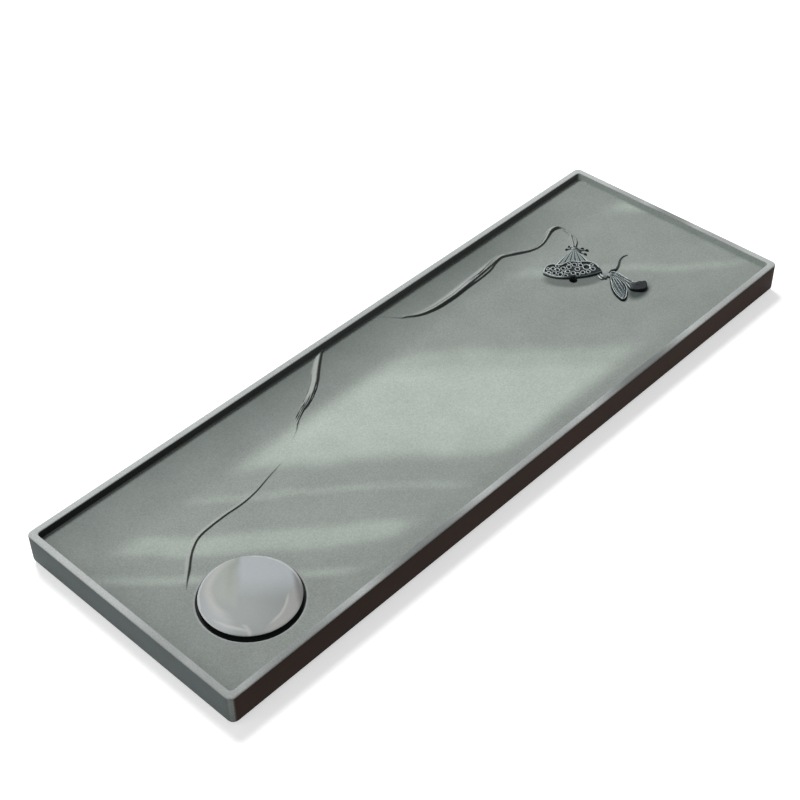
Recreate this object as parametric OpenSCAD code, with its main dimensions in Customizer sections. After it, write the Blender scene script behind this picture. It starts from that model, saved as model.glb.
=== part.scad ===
// A long stone tea tray: a shallow basin with a carved floor, a moon-shaped pot stand that
// lifts out, a lotus pod and a moth, and a drain beside the pod that leads to a hose stub
// under the slab. Millimetres. X runs along the tray, Y to its back, Z up from the table.

/* [Slab] */
// Length of the slab
tray_l = 750; // [700:10:900]
// Width of the slab
tray_w = 260; // [250:5:320]
// Thickness of the slab
tray_h = 30; // [29:1:36]
// Width of the flat rim round the basin
rim_w = 7; // [6:0.5:12]
// Depth of the basin floor below the rim
basin_depth = 8.5; // [7.5:0.5:10]
// Radius of the slab's upright outer corners
corner_r = 6; // [3:0.5:10]
// Radius of the slab's soft top and bottom edges
edge_r = 1.5; // [0.5:0.25:2.5]
// Radius of the basin's inner corners
basin_corner_r = 3; // [2:0.5:8]
// Width of the bevel on the rim's inner edge
rim_bevel = 1; // [0.5:0.25:2]

/* [Moon pot stand] */
// Diameter across the widest edge
moon_d = 87; // [80:1:96]
// Distance of its centre from the near short end
moon_from_end = 86; // [80:1:120]
// Distance of its centre from the front long side
moon_from_front = 71; // [66:1:90]
// Height of its widest edge above the basin floor
moon_edge_h = 4.4; // [3.5:0.1:5]
// Rise of the domed top above the edge
moon_dome_h = 3.2; // [1.5:0.1:3.5]
// Overhang of the edge past the foot of its undercut
moon_undercut = 4; // [2:0.5:6]
// Diameter of the locating boss under it
boss_d = 60; // [40:1:66]
// Width of the moat round the edge
moat_w = 4.5; // [3:0.5:6]
// Depth of the moat below the basin floor
moat_depth = 1.5; // [1:0.25:2.5]
// Depth of the boss's socket below the basin floor
socket_depth = 4.5; // [4:0.5:6]
// Play round the boss in its socket
boss_play = 0.5; // [0.3:0.1:1]
// Diameter of a bumper under the boss
bumper_d = 8; // [5:0.5:12]
// Thickness of a bumper
bumper_h = 1.2; // [0.8:0.1:2]

/* [Carving] */
// Height of the stalk line at its highest
stalk_h = 4; // [3:0.25:5]
// Height of the bank line at its highest
bank_h = 3.5; // [2.5:0.25:4.5]
// Width of the steep side of either line
steep_w = 3; // [2:0.25:4]
// Length of the lotus pod's seed head
pod_l = 59; // [52:1:62]
// Width of the lotus pod's seed head
pod_w = 24; // [20:1:27]
// Height of the seed head's back lip above the basin floor
pod_h = 5.5; // [4.5:0.25:6.5]
// Height of the seed head's front lip above the basin floor
pod_front_h = 2.9; // [2.5:0.1:3.5]
// Depth of the seed head's face below its lip
pod_dish = 1.2; // [0.8:0.1:1.5]
// Length of the pod's neck from seed head to collar
neck_l = 28.5; // [25:0.5:33]
// Radius of a lotus seed
seed_r = 1.3; // [1:0.1:1.5]
// Width of the ring round a seed
cell_w = 0.8; // [0.5:0.1:1]
// Distance between two seeds of a row
seed_gap = 6.3; // [6.1:0.1:7]
// Height of the moth's wings above the basin floor
wing_h = 3; // [2:0.25:4]
// Radius of the moth's body
moth_r = 3.2; // [2.5:0.1:4]
// Width of the moth's feeler
feeler_w = 1.6; // [1.2:0.1:2.4]

/* [Drain] */
// Diameter of the drain hole
drain_d = 8; // [6:0.5:10]
// Diameter of the round pocket under the drain
pocket_d = 52; // [48:1:60]
// Depth of the pocket
pocket_depth = 12; // [11:0.5:14]
// Width of the hose channel
channel_w = 16; // [14:0.5:22]
// Depth of the hose channel
channel_depth = 11.5; // [10.5:0.5:13]
// Thickness of the rubber gasket
gasket_t = 1.5; // [1:0.25:2.5]
// Thickness of the elbow's flange
flange_t = 3; // [2:0.25:4]
// Radius of the flange round the drain
flange_r = 10; // [8:0.5:11]
// Distance of each screw from the drain's axis
screw_reach = 15; // [14:0.5:18]
// Radius of the flange's ears round the screws
ear_r = 5; // [4.5:0.25:6]
// Outer radius of the elbow's body
elbow_r = 8.5; // [7:0.5:9.5]
// Diameter of the hose stub
stub_d = 9; // [8:0.5:10]
// Free length of the hose stub
stub_l = 22; // [16:1:26]
// Wall of the elbow and its stub
elbow_wall = 1.5; // [1.2:0.1:2]
// Height of the collar that stops the hose, round the stub's root
collar_h = 1; // [0.5:0.25:1.5]
// Thickness of the strainer disc
strainer_t = 0.8; // [0.5:0.1:1.2]
// Width of the strainer's rim outside the drain hole
strainer_rim = 3; // [2:0.25:4]
// Diameter of a screw's shank
screw_d = 2.9; // [2:0.1:3.2]
// Depth of a screw plug in the stone
plug_l = 6; // [4:0.5:6.5]
// Wall of a screw plug
plug_wall = 1; // [0.8:0.1:1.5]

/* [Feet] */
// Diameter of a rubber foot
foot_d = 20; // [16:1:26]
// Height of a foot below the slab
foot_proud = 4; // [3.5:0.25:8]
// Depth of a foot's socket in the slab
foot_socket = 2; // [1:0.5:4]
// Inset of a foot's centre from the slab's long sides
foot_inset_y = 35; // [25:1:45]
// Inset of a corner foot's centre from the short ends
foot_inset_x = 45; // [30:1:70]

/* [Hidden] */
$fn = 96;

// Gap between a fitted piece and its hole
fit_gap = 0.05;
// How far a cut runs past a face
past = 1;
// How far one form sinks into another that it is one piece with
sink = 0.5;

slab_z = foot_proud;
top_z = slab_z + tray_h;
floor_z = top_z - basin_depth;
back_y = tray_w / 2 - rim_w;
moon_x = moon_from_end - tray_l / 2;
moon_y = moon_from_front - tray_w / 2;
moon_r = moon_d / 2;
moat_z = floor_z - moat_depth;
socket_z = floor_z - socket_depth;
pocket_z = slab_z + pocket_depth;
flange_z = pocket_z - gasket_t;
under_flange_z = flange_z - flange_t;
hose_z = under_flange_z + sink - stub_d / 2;
elbow_floor_z = hose_z - stub_d / 2 - sink;
stub_bore_r = stub_d / 2 - elbow_wall;

// The stalk line from the back wall to the pod: distance from the far short end, distance
// from the back wall, share of the full height, width of the gentle bank behind the crest.
stalk = [[335, -5, 0.4, 12], [325, 10, 0.6, 15], [315, 22, 0.75, 19], [301, 32, 0.85, 23],
    [285, 38, 0.9, 26], [267, 41, 0.9, 27], [244, 40, 1, 27], [220, 37, 1, 24],
    [197, 34, 0.9, 19], [179, 31, 0.75, 13], [167, 33, 0.65, 9], [154, 41, 0.6, 6],
    [141, 47, 0.55, 4.5], [127, 47, 0.5, 4], [113, 43, 0.5, 3.5], [101, 40, 0.5, 3],
    [93, 43, 0.5, 3], [91, 50, 0.5, 3], [94, 58, 0.4, 3],
    [101, 66, 0.3, 3]];

// The fine threads on and after the stalk: width, and how far one stands above the crest and
// swings to its sides. Two of them run from the stalk's bend to the pod's collar, and their
// points are x and y from the collar and the height.
thread_w = 1.6;
thread_rise = 0.6;
thread_sway = 1.3;
thread_1 = [[18, 28.5, 1.6], [17, 21, 2], [16.5, 15.5, 2.2], [12.5, 8.5, 2.2], [6.5, 2.6, 2.2],
    [3.9, 1.4, 2.2]];
thread_2 = [[17, 19, 2], [12.5, 14.5, 2], [8.5, 10.7, 2.2], [4.8, 6.2, 2.4],
    [3, 3.4, 2.4]];

// The bank line from the moon stand to the back wall, measured from the near short end.
bank = [[49, 142, 0.45, 7], [54, 136, 0.6, 9], [63, 130, 0.7, 11],
    [72, 122, 0.8, 13], [81, 114, 0.8, 15], [91, 105, 0.85, 17],
    [103, 99, 0.9, 20], [119, 97, 0.9, 22], [137, 96, 0.9, 22], [155, 96, 0.85, 22],
    [173, 94, 0.75, 20], [192, 89, 0.6, 18], [211, 84, 0.45, 14], [229, 77, 0.4, 12],
    [245, 68, 0.6, 13], [259, 57, 0.8, 15], [272, 49, 0.9, 16], [290, 41, 1, 18],
    [308, 31, 1, 18], [326, 15, 0.9, 16], [337, 2, 0.8, 13], [344, -6, 0.7, 10]];

// The pod's collar stands just past the stalk's end, and its neck leads to the seed head
stalk_end = stalk[len(stalk) - 1];
collar_x = tray_l / 2 - stalk_end[0] - 9;
collar_y = back_y - stalk_end[1] - 11.5;
neck_turn = -144;
pod_turn = -41;
pod_x = collar_x + (neck_l + pod_w / 2) * cos(neck_turn);
pod_y = collar_y + (neck_l + pod_w / 2) * sin(neck_turn);

// The drain hole bites into the pod's lower edge
drain_off = pod_w / 2 + 0.1625 * drain_d;
drain_x = pod_x + drain_off * sin(pod_turn) - 1.2;
drain_y = pod_y - drain_off * cos(pod_turn) + 1;

// The moth's chest, past the pod's far tip
moth_x = pod_x + pod_l / 2 * cos(pod_turn) - 4.5;
moth_y = pod_y + pod_l / 2 * sin(pod_turn) - 13;

function unit(v) = v / norm(v);

// A point between b and c on a smooth curve through a, b, c and d, at share t
function smooth_point(a, b, c, d, t) =
    0.5 * (2 * b + t * (c - a) + t * t * (2 * a - 5 * b + 4 * c - d)
        + t * t * t * (3 * b - a - 3 * c + d));

// A smooth curve through all the points, with the given number of steps between two
function smooth(p, steps) = let (n = len(p)) concat(
    [for (i = [0 : n - 2], s = [0 : steps - 1])
        smooth_point(p[max(i - 1, 0)], p[i], p[i + 1], p[min(i + 2, n - 1)], s / steps)],
    [p[n - 1]]);

// A smooth closed curve through all the points
function smooth_ring(p, steps) = let (n = len(p))
    [for (i = [0 : n - 1], s = [0 : steps - 1])
        smooth_point(p[(i + n - 1) % n], p[i], p[(i + 1) % n], p[(i + 2) % n], s / steps)];

// The direction of a curve at point i, seen from above
function heading(p, i) = let (a = p[max(i - 1, 0)], b = p[min(i + 1, len(p) - 1)])
    unit([b[0] - a[0], b[1] - a[1]]);

// One closed solid through rings of equal length
module loft(rings) {
    n = len(rings[0]);
    m = len(rings);
    polyhedron(
        points = [for (ring = rings, point = ring) point],
        faces = concat(
            [[for (j = [n - 1 : -1 : 0]) j]],
            [for (i = [0 : m - 2], j = [0 : n - 1]) let (k = (j + 1) % n)
                [i * n + j, i * n + k, (i + 1) * n + k]],
            [for (i = [0 : m - 2], j = [0 : n - 1]) let (k = (j + 1) % n)
                [i * n + j, (i + 1) * n + k, (i + 1) * n + j]],
            [[for (j = [0 : n - 1]) (m - 1) * n + j]]),
        convexity = 8);
}

// A carved line: steep on its right, and a bank that fades out on its left. end is 1 where
// its path is measured from the far short end, and -1 from the near one.
module carved_line(path, full_h, end) {
    points = smooth([for (p = path)
        [end * (tray_l / 2 - p[0]), back_y - p[1], p[2] * full_h, p[3]]], 3);
    loft([for (i = [0 : len(points) - 1])
        let (p = points[i], t = heading(points, i), h = p[2], b = p[3],
            section = [[-steep_w, -sink], [-steep_w * 0.7, h * 0.25],
                [-steep_w * 0.3, h * 0.85], [0, h], [b * 0.1, h * 0.86],
                [b * 0.25, h * 0.6], [b * 0.45, h * 0.32], [b * 0.7, h * 0.12],
                [b, -sink]])
        [for (s = section) [p[0] - t[1] * s[0], p[1] + t[0] * s[0], floor_z + s[1]]]]);
}

// Threads of the stalk: from point a to point b of its path they wind round each other
// over its crest, each a half turn after the other
module stalk_threads(a, b) {
    points = smooth([for (i = [a : b]) let (p = stalk[i])
        [tray_l / 2 - p[0], back_y - p[1], p[2] * stalk_h]], 3);
    last = len(points) - 1;
    for (turn = [0, 180])
        strand([for (i = [0 : last])
            let (p = points[i], t = heading(points, i),
                off = 0.8 + thread_sway * sin(turn + 540 * i / last))
            [p[0] - t[1] * off, p[1] + t[0] * off, p[2] * 0.85 + thread_rise]], thread_w, floor_z);
}

// Two thin threads lead from the stalk's bend to the pod's collar
module collar_threads() {
    for (path = [thread_1, thread_2])
        strand([for (p = path) [collar_x + p[0], collar_y + p[1], p[2]]], thread_w, floor_z);
}

// A leaf along a path of [x, y, half width, height], with ribs that run to its root
module ribbed_leaf(path, ribs, rib_h) {
    points = smooth(path, 3);
    loft([for (i = [0 : len(points) - 1])
        let (p = points[i], t = heading(points, i), rise = rib_h * min(1, p[2] / ribs))
        concat([[p[0] + t[1] * p[2], p[1] - t[0] * p[2], floor_z]],
            [for (j = [0 : 4 * ribs]) let (a = j / (2 * ribs) - 1)
                [p[0] - t[1] * p[2] * a, p[1] + t[0] * p[2] * a,
                    floor_z + p[3] * (1 - 0.25 * a * a) + rise * cos(360 * ribs * a / 2)]],
            [[p[0] - t[1] * p[2], p[1] + t[0] * p[2], floor_z]])]);
}

// A thin raised line along points [x, y, height], tapered to both ends
module strand(path, w, base_z) {
    points = smooth(path, 3);
    last = len(points) - 1;
    loft([for (i = [0 : last])
        let (p = points[i], t = heading(points, i), share = i / last,
            half = w / 2 * (0.35 + 0.65 * sin(180 * pow(share, 0.8))))
        [for (s = [[-half, 0], [-half * 0.7, p[2] * 0.75], [0, p[2]],
                [half * 0.7, p[2] * 0.75], [half, 0]])
            [p[0] - t[1] * s[0], p[1] + t[0] * s[0], base_z + s[1]]]]);
}

// An upright block with round corners
module round_block(l, w, h, r) {
    linear_extrude(h) {
        square([l - 2 * r, w], center = true);
        square([l, w - 2 * r], center = true);
        for (x = [-1, 1], y = [-1, 1])
            translate([x * (l / 2 - r), y * (w / 2 - r)]) circle(r);
    }
}

// An upright post with soft top and bottom edges
module soft_post(r, h, soft) {
    rotate_extrude($fn = 32) polygon(concat([[0, 0]],
        [for (a = [-90 : 30 : 0]) [r - soft + soft * cos(a), soft + soft * sin(a)]],
        [for (a = [0 : 30 : 90]) [r - soft + soft * cos(a), h - soft + soft * sin(a)]],
        [[0, h]]));
}

module slab_blank() {
    translate([0, 0, slab_z]) hull()
        for (x = [-1, 1], y = [-1, 1])
            translate([x * (tray_l / 2 - corner_r), y * (tray_w / 2 - corner_r), 0])
                soft_post(corner_r, tray_h, edge_r);
}

module basin() {
    basin_l = tray_l - 2 * rim_w;
    basin_w = tray_w - 2 * rim_w;
    translate([0, 0, floor_z])
        round_block(basin_l, basin_w, basin_depth + past, basin_corner_r);
    translate([0, 0, top_z - rim_bevel]) hull()
        for (x = [-1, 1], y = [-1, 1])
            translate([x * (basin_l / 2 - basin_corner_r),
                    y * (basin_w / 2 - basin_corner_r), 0])
                cylinder(h = 2 * rim_bevel, r1 = basin_corner_r,
                    r2 = basin_corner_r + 2 * rim_bevel, $fn = 32);
}

module stone_tray() {
    color([0.46, 0.5, 0.47]) difference() {
        union() {
            difference() {
                slab_blank();
                basin();
            }
            intersection() {
                union() {
                    carved_line(stalk, stalk_h, 1);
                    stalk_threads(6, 11);
                    collar_threads();
                    carved_line(bank, bank_h, -1);
                }
                translate([0, 0, floor_z - 2 * sink]) round_block(tray_l - rim_w,
                    tray_w - rim_w, basin_depth, basin_corner_r);
            }
        }
        translate([moon_x, moon_y, moat_z])
            cylinder(h = basin_depth + moat_depth, r = moon_r + moat_w);
        translate([moon_x, moon_y, socket_z])
            cylinder(h = socket_depth, r = boss_d / 2 + boss_play);
        translate([drain_x, drain_y, slab_z])
            cylinder(h = tray_h, r = drain_d / 2);
        drain_pocket();
        for (i = [1 : 2]) translate([screw_x(i), drain_y, pocket_z - past])
            cylinder(h = plug_l + past, r = screw_d / 2 + fit_gap + plug_wall + fit_gap);
        for (i = [1 : 6]) translate([foot_x(i), foot_y(i), slab_z - past])
            cylinder(h = foot_socket + past, r = foot_d / 2 + fit_gap);
    }
}

module drain_pocket() {
    translate([drain_x, drain_y, slab_z - past])
        cylinder(h = pocket_depth + past, r = pocket_d / 2);
    translate([drain_x - channel_w / 2, drain_y, slab_z - past])
        cube([channel_w, tray_w / 2 - drain_y + past, channel_depth + past]);
}

// The moon stand is one turned piece: dome, thin edge, undercut and locating boss
module moon_pot_stand() {
    edge_z = floor_z + moon_edge_h;
    under_z = moat_z + past;
    boss_z = socket_z + bumper_h;
    dome_r = (moon_r * moon_r + moon_dome_h * moon_dome_h) / (2 * moon_dome_h);
    dome_angle = asin(moon_r / dome_r);
    color([0.7, 0.72, 0.73]) translate([moon_x, moon_y, 0]) rotate_extrude() polygon(concat(
        [[0, boss_z], [boss_d / 2 - 1, boss_z], [boss_d / 2, boss_z + 1],
            [boss_d / 2, under_z], [moon_r - moon_undercut, under_z],
            [moon_r - 0.6, edge_z - 1], [moon_r, edge_z - 0.3]],
        [for (i = [11 : -1 : 0]) let (a = dome_angle * i / 12)
            [dome_r * sin(a), edge_z + moon_dome_h - dome_r * (1 - cos(a))]]));
}

module stand_bumper(i) {
    color([0.15, 0.15, 0.15]) translate([moon_x, moon_y, socket_z]) rotate(120 * i + 30)
        translate([boss_d / 2 - bumper_d, 0, 0]) cylinder(h = bumper_h, r = bumper_d / 2);
}

// The pod's lip in shares of half its length and width: wavy behind, full in front, with a
// blunt end on the stalk's side and a pointed tip that droops to the front
lip_shape = [[-1.02, -0.1], [-0.99, 0.3], [-0.87, 0.7], [-0.67, 0.9], [-0.5, 0.8],
    [-0.36, 0.72], [-0.22, 0.9], [-0.04, 1.06], [0.14, 1.03], [0.29, 0.9], [0.48, 0.87],
    [0.66, 0.74], [0.82, 0.42], [0.92, 0], [1.01, -0.5], [0.85, -0.66], [0.56, -0.8],
    [0.2, -0.93], [-0.15, -0.97], [-0.48, -0.84], [-0.8, -0.56]];
function pod_lip(inset) = [for (p = smooth_ring(lip_shape, 2))
    [(pod_l / 2 - inset) * p[0], (pod_w / 2 - inset) * p[1]]];

// The plane of the lip slopes from its back edge down to its front edge
pod_mid_h = (pod_h + pod_front_h) / 2;
pod_slope = atan((pod_h - pod_front_h) / pod_w);
module on_lip_plane() {
    translate([0, 0, pod_mid_h]) rotate([pod_slope, 0, 0]) children();
}

// Places of the seeds: a middle row of eight between two rows of seven that draw in
function seed_places() = concat(
    [for (i = [-3.5 : 3.5]) [i * seed_gap, 0]],
    [for (i = [-3 : 3], s = [-1, 1]) [i * seed_gap, s * pod_w * (0.245 - 0.006 * i * i)]]);

module lotus_pod() {
    color([0.3, 0.35, 0.36]) difference() {
        union() {
            difference() {
                union() {
                    translate([pod_x, pod_y, floor_z]) rotate(pod_turn)
                        difference() {
                            linear_extrude(pod_h + past) polygon(pod_lip(0));
                            on_lip_plane() translate([0, 0, pod_h])
                                cube([2 * pod_l, 2 * pod_l, 2 * pod_h], center = true);
                        }
                    pod_neck();
                }
                translate([pod_x, pod_y, floor_z]) rotate(pod_turn) on_lip_plane()
                    translate([0, 0, -pod_dish]) linear_extrude(pod_h) polygon(pod_lip(1.6));
            }
            translate([pod_x, pod_y, floor_z]) rotate(pod_turn) on_lip_plane()
                translate([0, 0, -pod_dish])
                    for (p = seed_places()) translate([p[0], p[1], 0]) seed_cell();
            pod_stamens();
        }
        translate([drain_x, drain_y, floor_z - past])
            cylinder(h = pod_h + 2 * past, r = drain_d / 2);
    }
}

// A round seed that stands in its raised ring
module seed_cell() {
    outer = seed_r + 0.3 + cell_w;
    rotate_extrude($fn = 24) polygon([[0, -sink], [outer + 0.1, -sink], [outer, 0],
        [outer - cell_w * 0.3, pod_dish * 0.75], [outer - cell_w * 0.7, pod_dish * 0.75],
        [outer - cell_w, 0.1], [seed_r, 0.1], [seed_r * 0.8, pod_dish * 0.45],
        [seed_r * 0.4, pod_dish * 0.65], [0, pod_dish * 0.7]]);
}

// The neck widens from the collar to the seed head like a fan, with raised ribs
module pod_neck() {
    foot = [pod_x + 0.05 * pod_l * cos(pod_turn) - 0.25 * pod_w * sin(pod_turn),
        pod_y + 0.05 * pod_l * sin(pod_turn) + 0.25 * pod_w * cos(pod_turn)];
    top = [collar_x, collar_y];
    foot_half = 0.31 * pod_l;
    foot_h = pod_h - 1.4;
    ribbed_leaf([for (share = [0, 0.33, 0.67, 1])
        concat(top + share * (foot - top), [2 + share * (foot_half - 2),
            2.6 + share * (foot_h - 2.6)])], 7, 0.5);
    translate([top[0], top[1], floor_z]) cylinder(h = 3.2, r = 2.4, $fn = 24);
}

// Heads of the stamens, measured from the collar
stamens = [[-6.7, 4.4], [0.2, 4.2], [-2, -5.4], [3.6, -4.2], [0.9, -9.9], [6, -11.3],
    [-1.1, -15.6], [6.4, -6.6]];

// Stamens fan out from the collar, each with a small round head
module pod_stamens() {
    for (tip = stamens) {
        x = collar_x + tip[0];
        y = collar_y + tip[1];
        strand([[collar_x, collar_y, 2.4], [collar_x + tip[0] / 2, collar_y + tip[1] / 2, 2],
            [x, y, 1.6]], 1.2, floor_z);
        intersection() {
            translate([x, y, floor_z + 0.6]) sphere(1.4, $fn = 24);
            translate([x - 2, y - 2, floor_z]) cube(4);
        }
    }
}

// The middle lines of the two wings, measured from the moth's chest: x, y, half width, and
// share of the wings' height. The far wing's tip turns outwards and stands up.
near_wing = [[2, -1, 2.4, 1.05], [0, -4, 4, 0.97], [-3, -10.2, 6.5, 0.92], [-7.8, -20, 8.7, 0.9],
    [-12.7, -27.5, 8.4, 0.88], [-16.5, -32.5, 6.4, 0.85], [-19, -36.3, 3, 0.78],
    [-19.8, -37.6, 0.6, 0.7]];
far_wing = [[5.2, -1, 2.4, 1.05], [5.4, -10, 3.2, 1.1], [4.8, -18, 3.6, 1.2],
    [4.6, -26, 4.6, 1.3], [5.8, -31, 6.4, 1.4], [7.2, -35.5, 6.8, 1.5], [8.4, -39, 4.8, 1.4],
    [9, -41, 1.4, 1.15]];

module moth() {
    color([0.3, 0.35, 0.36]) {
        for (wing = [near_wing, far_wing])
            ribbed_leaf([for (p = wing) [moth_x + p[0], moth_y + p[1], p[2], p[3] * wing_h]],
                4, 0.35);
        moth_body();
        moth_feelers();
    }
}

// Head, chest and two joints of the tail are balls cut flat at the floor
module moth_body() {
    intersection() {
        translate([moth_x, moth_y, floor_z]) {
            translate([1.4, -0.6, 1]) sphere(moth_r, $fn = 32);
            translate([-3.6, 1, 0.8]) sphere(moth_r * 0.78, $fn = 32);
            translate([4.4, -5.6, 1.2]) sphere(moth_r * 0.8, $fn = 32);
            translate([3.9, -10.5, 1.4]) sphere(moth_r * 0.66, $fn = 32);
        }
        translate([moth_x - 20, moth_y - 20, floor_z]) cube([40, 40, 2 * moth_r]);
    }
}

// The long feeler curls away from the pod, and two short legs reach towards it
module moth_feelers() {
    for (path = [
            [[2, 1.2, 2.6], [7.2, 3.3, 2.8], [10.6, 2.6, 2.8], [14.6, 1.6, 2.6],
                [20.2, 3.4, 2.3], [27.2, 7.3, 2], [34.3, 9.7, 1.8], [40.7, 9.6, 1.5],
                [44.4, 8.4, 1.1]],
            [[-5.6, 1.5, 2], [-7.2, 4, 2], [-6.9, 6.6, 1.8], [-5.3, 9.6, 1.5]],
            [[-4, 1, 2.4], [-4.1, 2.4, 2], [-3.8, 6, 2], [-1.8, 9.6, 1.5]]])
        strand([for (p = path) [moth_x + p[0], moth_y + p[1], p[2]]], feeler_w, floor_z);
}

function screw_x(i) = drain_x + (i == 1 ? -1 : 1) * screw_reach;

// The flange's outline: a round middle with an ear for each screw
module flange_plate(h) {
    linear_extrude(h) {
        circle(flange_r);
        for (s = [-1, 1]) translate([s * screw_reach, 0]) circle(ear_r);
        square([2 * screw_reach, 2 * ear_r], center = true);
    }
}

module screw_holes(z, h) {
    for (s = [-1, 1]) translate([s * screw_reach, 0, z])
        cylinder(h = h, r = screw_d / 2 + 2 * fit_gap);
}

module drain_gasket() {
    color([0.12, 0.12, 0.12]) translate([drain_x, drain_y, flange_z]) difference() {
        flange_plate(gasket_t);
        translate([0, 0, -past]) cylinder(h = gasket_t + 2 * past, r = drain_d / 2);
        screw_holes(-past, gasket_t + 2 * past);
    }
}

module drain_strainer() {
    color([0.75, 0.76, 0.77]) translate([drain_x, drain_y, flange_z - strainer_t])
        difference() {
            cylinder(h = strainer_t, r = drain_d / 2 + strainer_rim - fit_gap);
            translate([0, 0, -past]) {
                cylinder(h = strainer_t + 2 * past, r = drain_d / 11);
                for (a = [0 : 60 : 300]) rotate(a) translate([drain_d / 3.6, 0, 0])
                    cylinder(h = strainer_t + 2 * past, r = drain_d / 11);
            }
        }
}

// The elbow hangs under the flange and turns the water into the hose stub
module drain_elbow() {
    reach = flange_r + stub_l;
    color([0.16, 0.16, 0.17]) translate([drain_x, drain_y, 0]) difference() {
        union() {
            translate([0, 0, under_flange_z]) flange_plate(flange_t);
            translate([0, 0, elbow_floor_z])
                cylinder(h = flange_z - elbow_floor_z, r = elbow_r);
            translate([0, 0, hose_z]) rotate([-90, 0, 0]) {
                cylinder(h = flange_r + 1, r = stub_d / 2 + collar_h);
                cylinder(h = reach - 1, r = stub_d / 2);
                translate([0, 0, reach - 1])
                    cylinder(h = 1, r1 = stub_d / 2, r2 = stub_d / 2 - 0.7);
            }
        }
        translate([0, 0, flange_z - strainer_t])
            cylinder(h = strainer_t + past, r = drain_d / 2 + strainer_rim);
        translate([0, 0, elbow_floor_z + elbow_wall])
            cylinder(h = flange_z - elbow_floor_z, r = drain_d / 2);
        translate([0, 0, hose_z]) rotate([-90, 0, 0])
            cylinder(h = reach + past, r = stub_bore_r);
        screw_holes(under_flange_z - past, flange_t + 2 * past);
    }
}

// A pan-head screw with a cross slot, up through flange and gasket into its plug
module drain_screw(i) {
    head_r = screw_d;
    head_h = 0.6 * screw_d;
    color([0.72, 0.73, 0.74]) translate([screw_x(i), drain_y, under_flange_z]) {
        cylinder(h = flange_t + gasket_t + plug_l - 1.5, r = screw_d / 2);
        difference() {
            translate([0, 0, -head_h]) cylinder(h = head_h, r1 = head_r * 0.8, r2 = head_r);
            for (turn = [0, 90]) rotate(turn) translate([0, 0, -head_h])
                cube([head_r * 1.1, 0.6, head_h], center = true);
        }
    }
}

module screw_plug(i) {
    inner_r = screw_d / 2 + fit_gap;
    color([0.85, 0.85, 0.8]) translate([screw_x(i), drain_y, pocket_z]) difference() {
        cylinder(h = plug_l, r = inner_r + plug_wall);
        translate([0, 0, -past]) cylinder(h = plug_l + past - 0.8, r = inner_r);
    }
}

function foot_x(i) = ((i - 1) % 3 - 1) * (tray_l / 2 - foot_inset_x);
function foot_y(i) = (i > 3 ? 1 : -1) * (tray_w / 2 - foot_inset_y);

// A rubber foot with a rounded lower edge and a shallow hollow in its sole
module foot(i) {
    r = foot_d / 2;
    color([0.1, 0.1, 0.1]) translate([foot_x(i), foot_y(i), 0])
        rotate_extrude() polygon([[0, 0.6], [r * 0.55, 0.6], [r * 0.62, 0], [r - 1.2, 0],
            [r - 0.4, 0.4], [r, 1.2], [r, foot_proud + foot_socket],
            [0, foot_proud + foot_socket]]);
}

stone_tray();
moon_pot_stand();
stand_bumper(1);  // stand_bumper_1
stand_bumper(2);  // stand_bumper_2
stand_bumper(3);  // stand_bumper_3
lotus_pod();
moth();
drain_gasket();
drain_strainer();
drain_elbow();
drain_screw(1);  // drain_screw_1
drain_screw(2);  // drain_screw_2
screw_plug(1);  // screw_plug_1
screw_plug(2);  // screw_plug_2
foot(1);  // foot_1
foot(2);  // foot_2
foot(3);  // foot_3
foot(4);  // foot_4
foot(5);  // foot_5
foot(6);  // foot_6
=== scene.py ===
import math

import bmesh
import bpy
import numpy as np
from mathutils import Matrix, Vector, kdtree, noise


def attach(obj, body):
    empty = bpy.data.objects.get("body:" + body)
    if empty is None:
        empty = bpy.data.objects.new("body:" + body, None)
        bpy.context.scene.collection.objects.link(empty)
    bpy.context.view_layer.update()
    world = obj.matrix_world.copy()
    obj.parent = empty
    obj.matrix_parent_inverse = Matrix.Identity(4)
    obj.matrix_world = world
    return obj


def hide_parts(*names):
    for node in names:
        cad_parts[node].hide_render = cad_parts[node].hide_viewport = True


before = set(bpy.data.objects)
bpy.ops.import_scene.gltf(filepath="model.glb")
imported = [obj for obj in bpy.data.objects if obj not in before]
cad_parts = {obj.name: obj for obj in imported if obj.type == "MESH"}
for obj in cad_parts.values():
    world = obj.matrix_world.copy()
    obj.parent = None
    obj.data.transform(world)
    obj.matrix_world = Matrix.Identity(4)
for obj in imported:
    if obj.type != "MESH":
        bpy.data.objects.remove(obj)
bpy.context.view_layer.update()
bpy.ops.object.select_all(action="DESELECT")

# Stone tray. One slab of dark grey-green stone, honed, with a sunk basin whose floor carries two
# carved lines. The floor is drawn as a fine sheet, its border is led out over wall, rim and outer
# side to the sole, the recesses are cut, and the lines are then carved into the floor.
MM = 0.001
FLOOR_Z, TOP_Z, SOLE_Z = 25.5, 34.0, 4.0
HALF_L, HALF_W = 375.0, 130.0
RIM_W, CORNER_R, BASIN_CORNER_R = 7.0, 6.0, 3.0
BASIN_L, BASIN_W = HALF_L - RIM_W, HALF_W - RIM_W
WALL_FOOT_R, RIM_EDGE_R, EDGE_R = 1.2, 1.1, 1.6
FLOOR_CELL = 3.0
MOON_X, MOON_Y = -289.0, -59.0
DRAIN_X, DRAIN_Y, DRAIN_R = 222.308, 12.657, 4.0
POCKET_Z = 16.0


def block(name, middle, size):
    """An upright block, in millimetres."""
    bpy.ops.mesh.primitive_cube_add(size=MM, location=Vector(middle) * MM)
    made = bpy.context.object
    made.name = name
    made.scale = size
    bpy.ops.object.transform_apply(location=True, rotation=True, scale=True)
    return made


def pick(piece):
    """Makes a piece the only selected one and the active one."""
    bpy.ops.object.select_all(action="DESELECT")
    piece.select_set(True)
    bpy.context.view_layer.objects.active = piece


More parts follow.
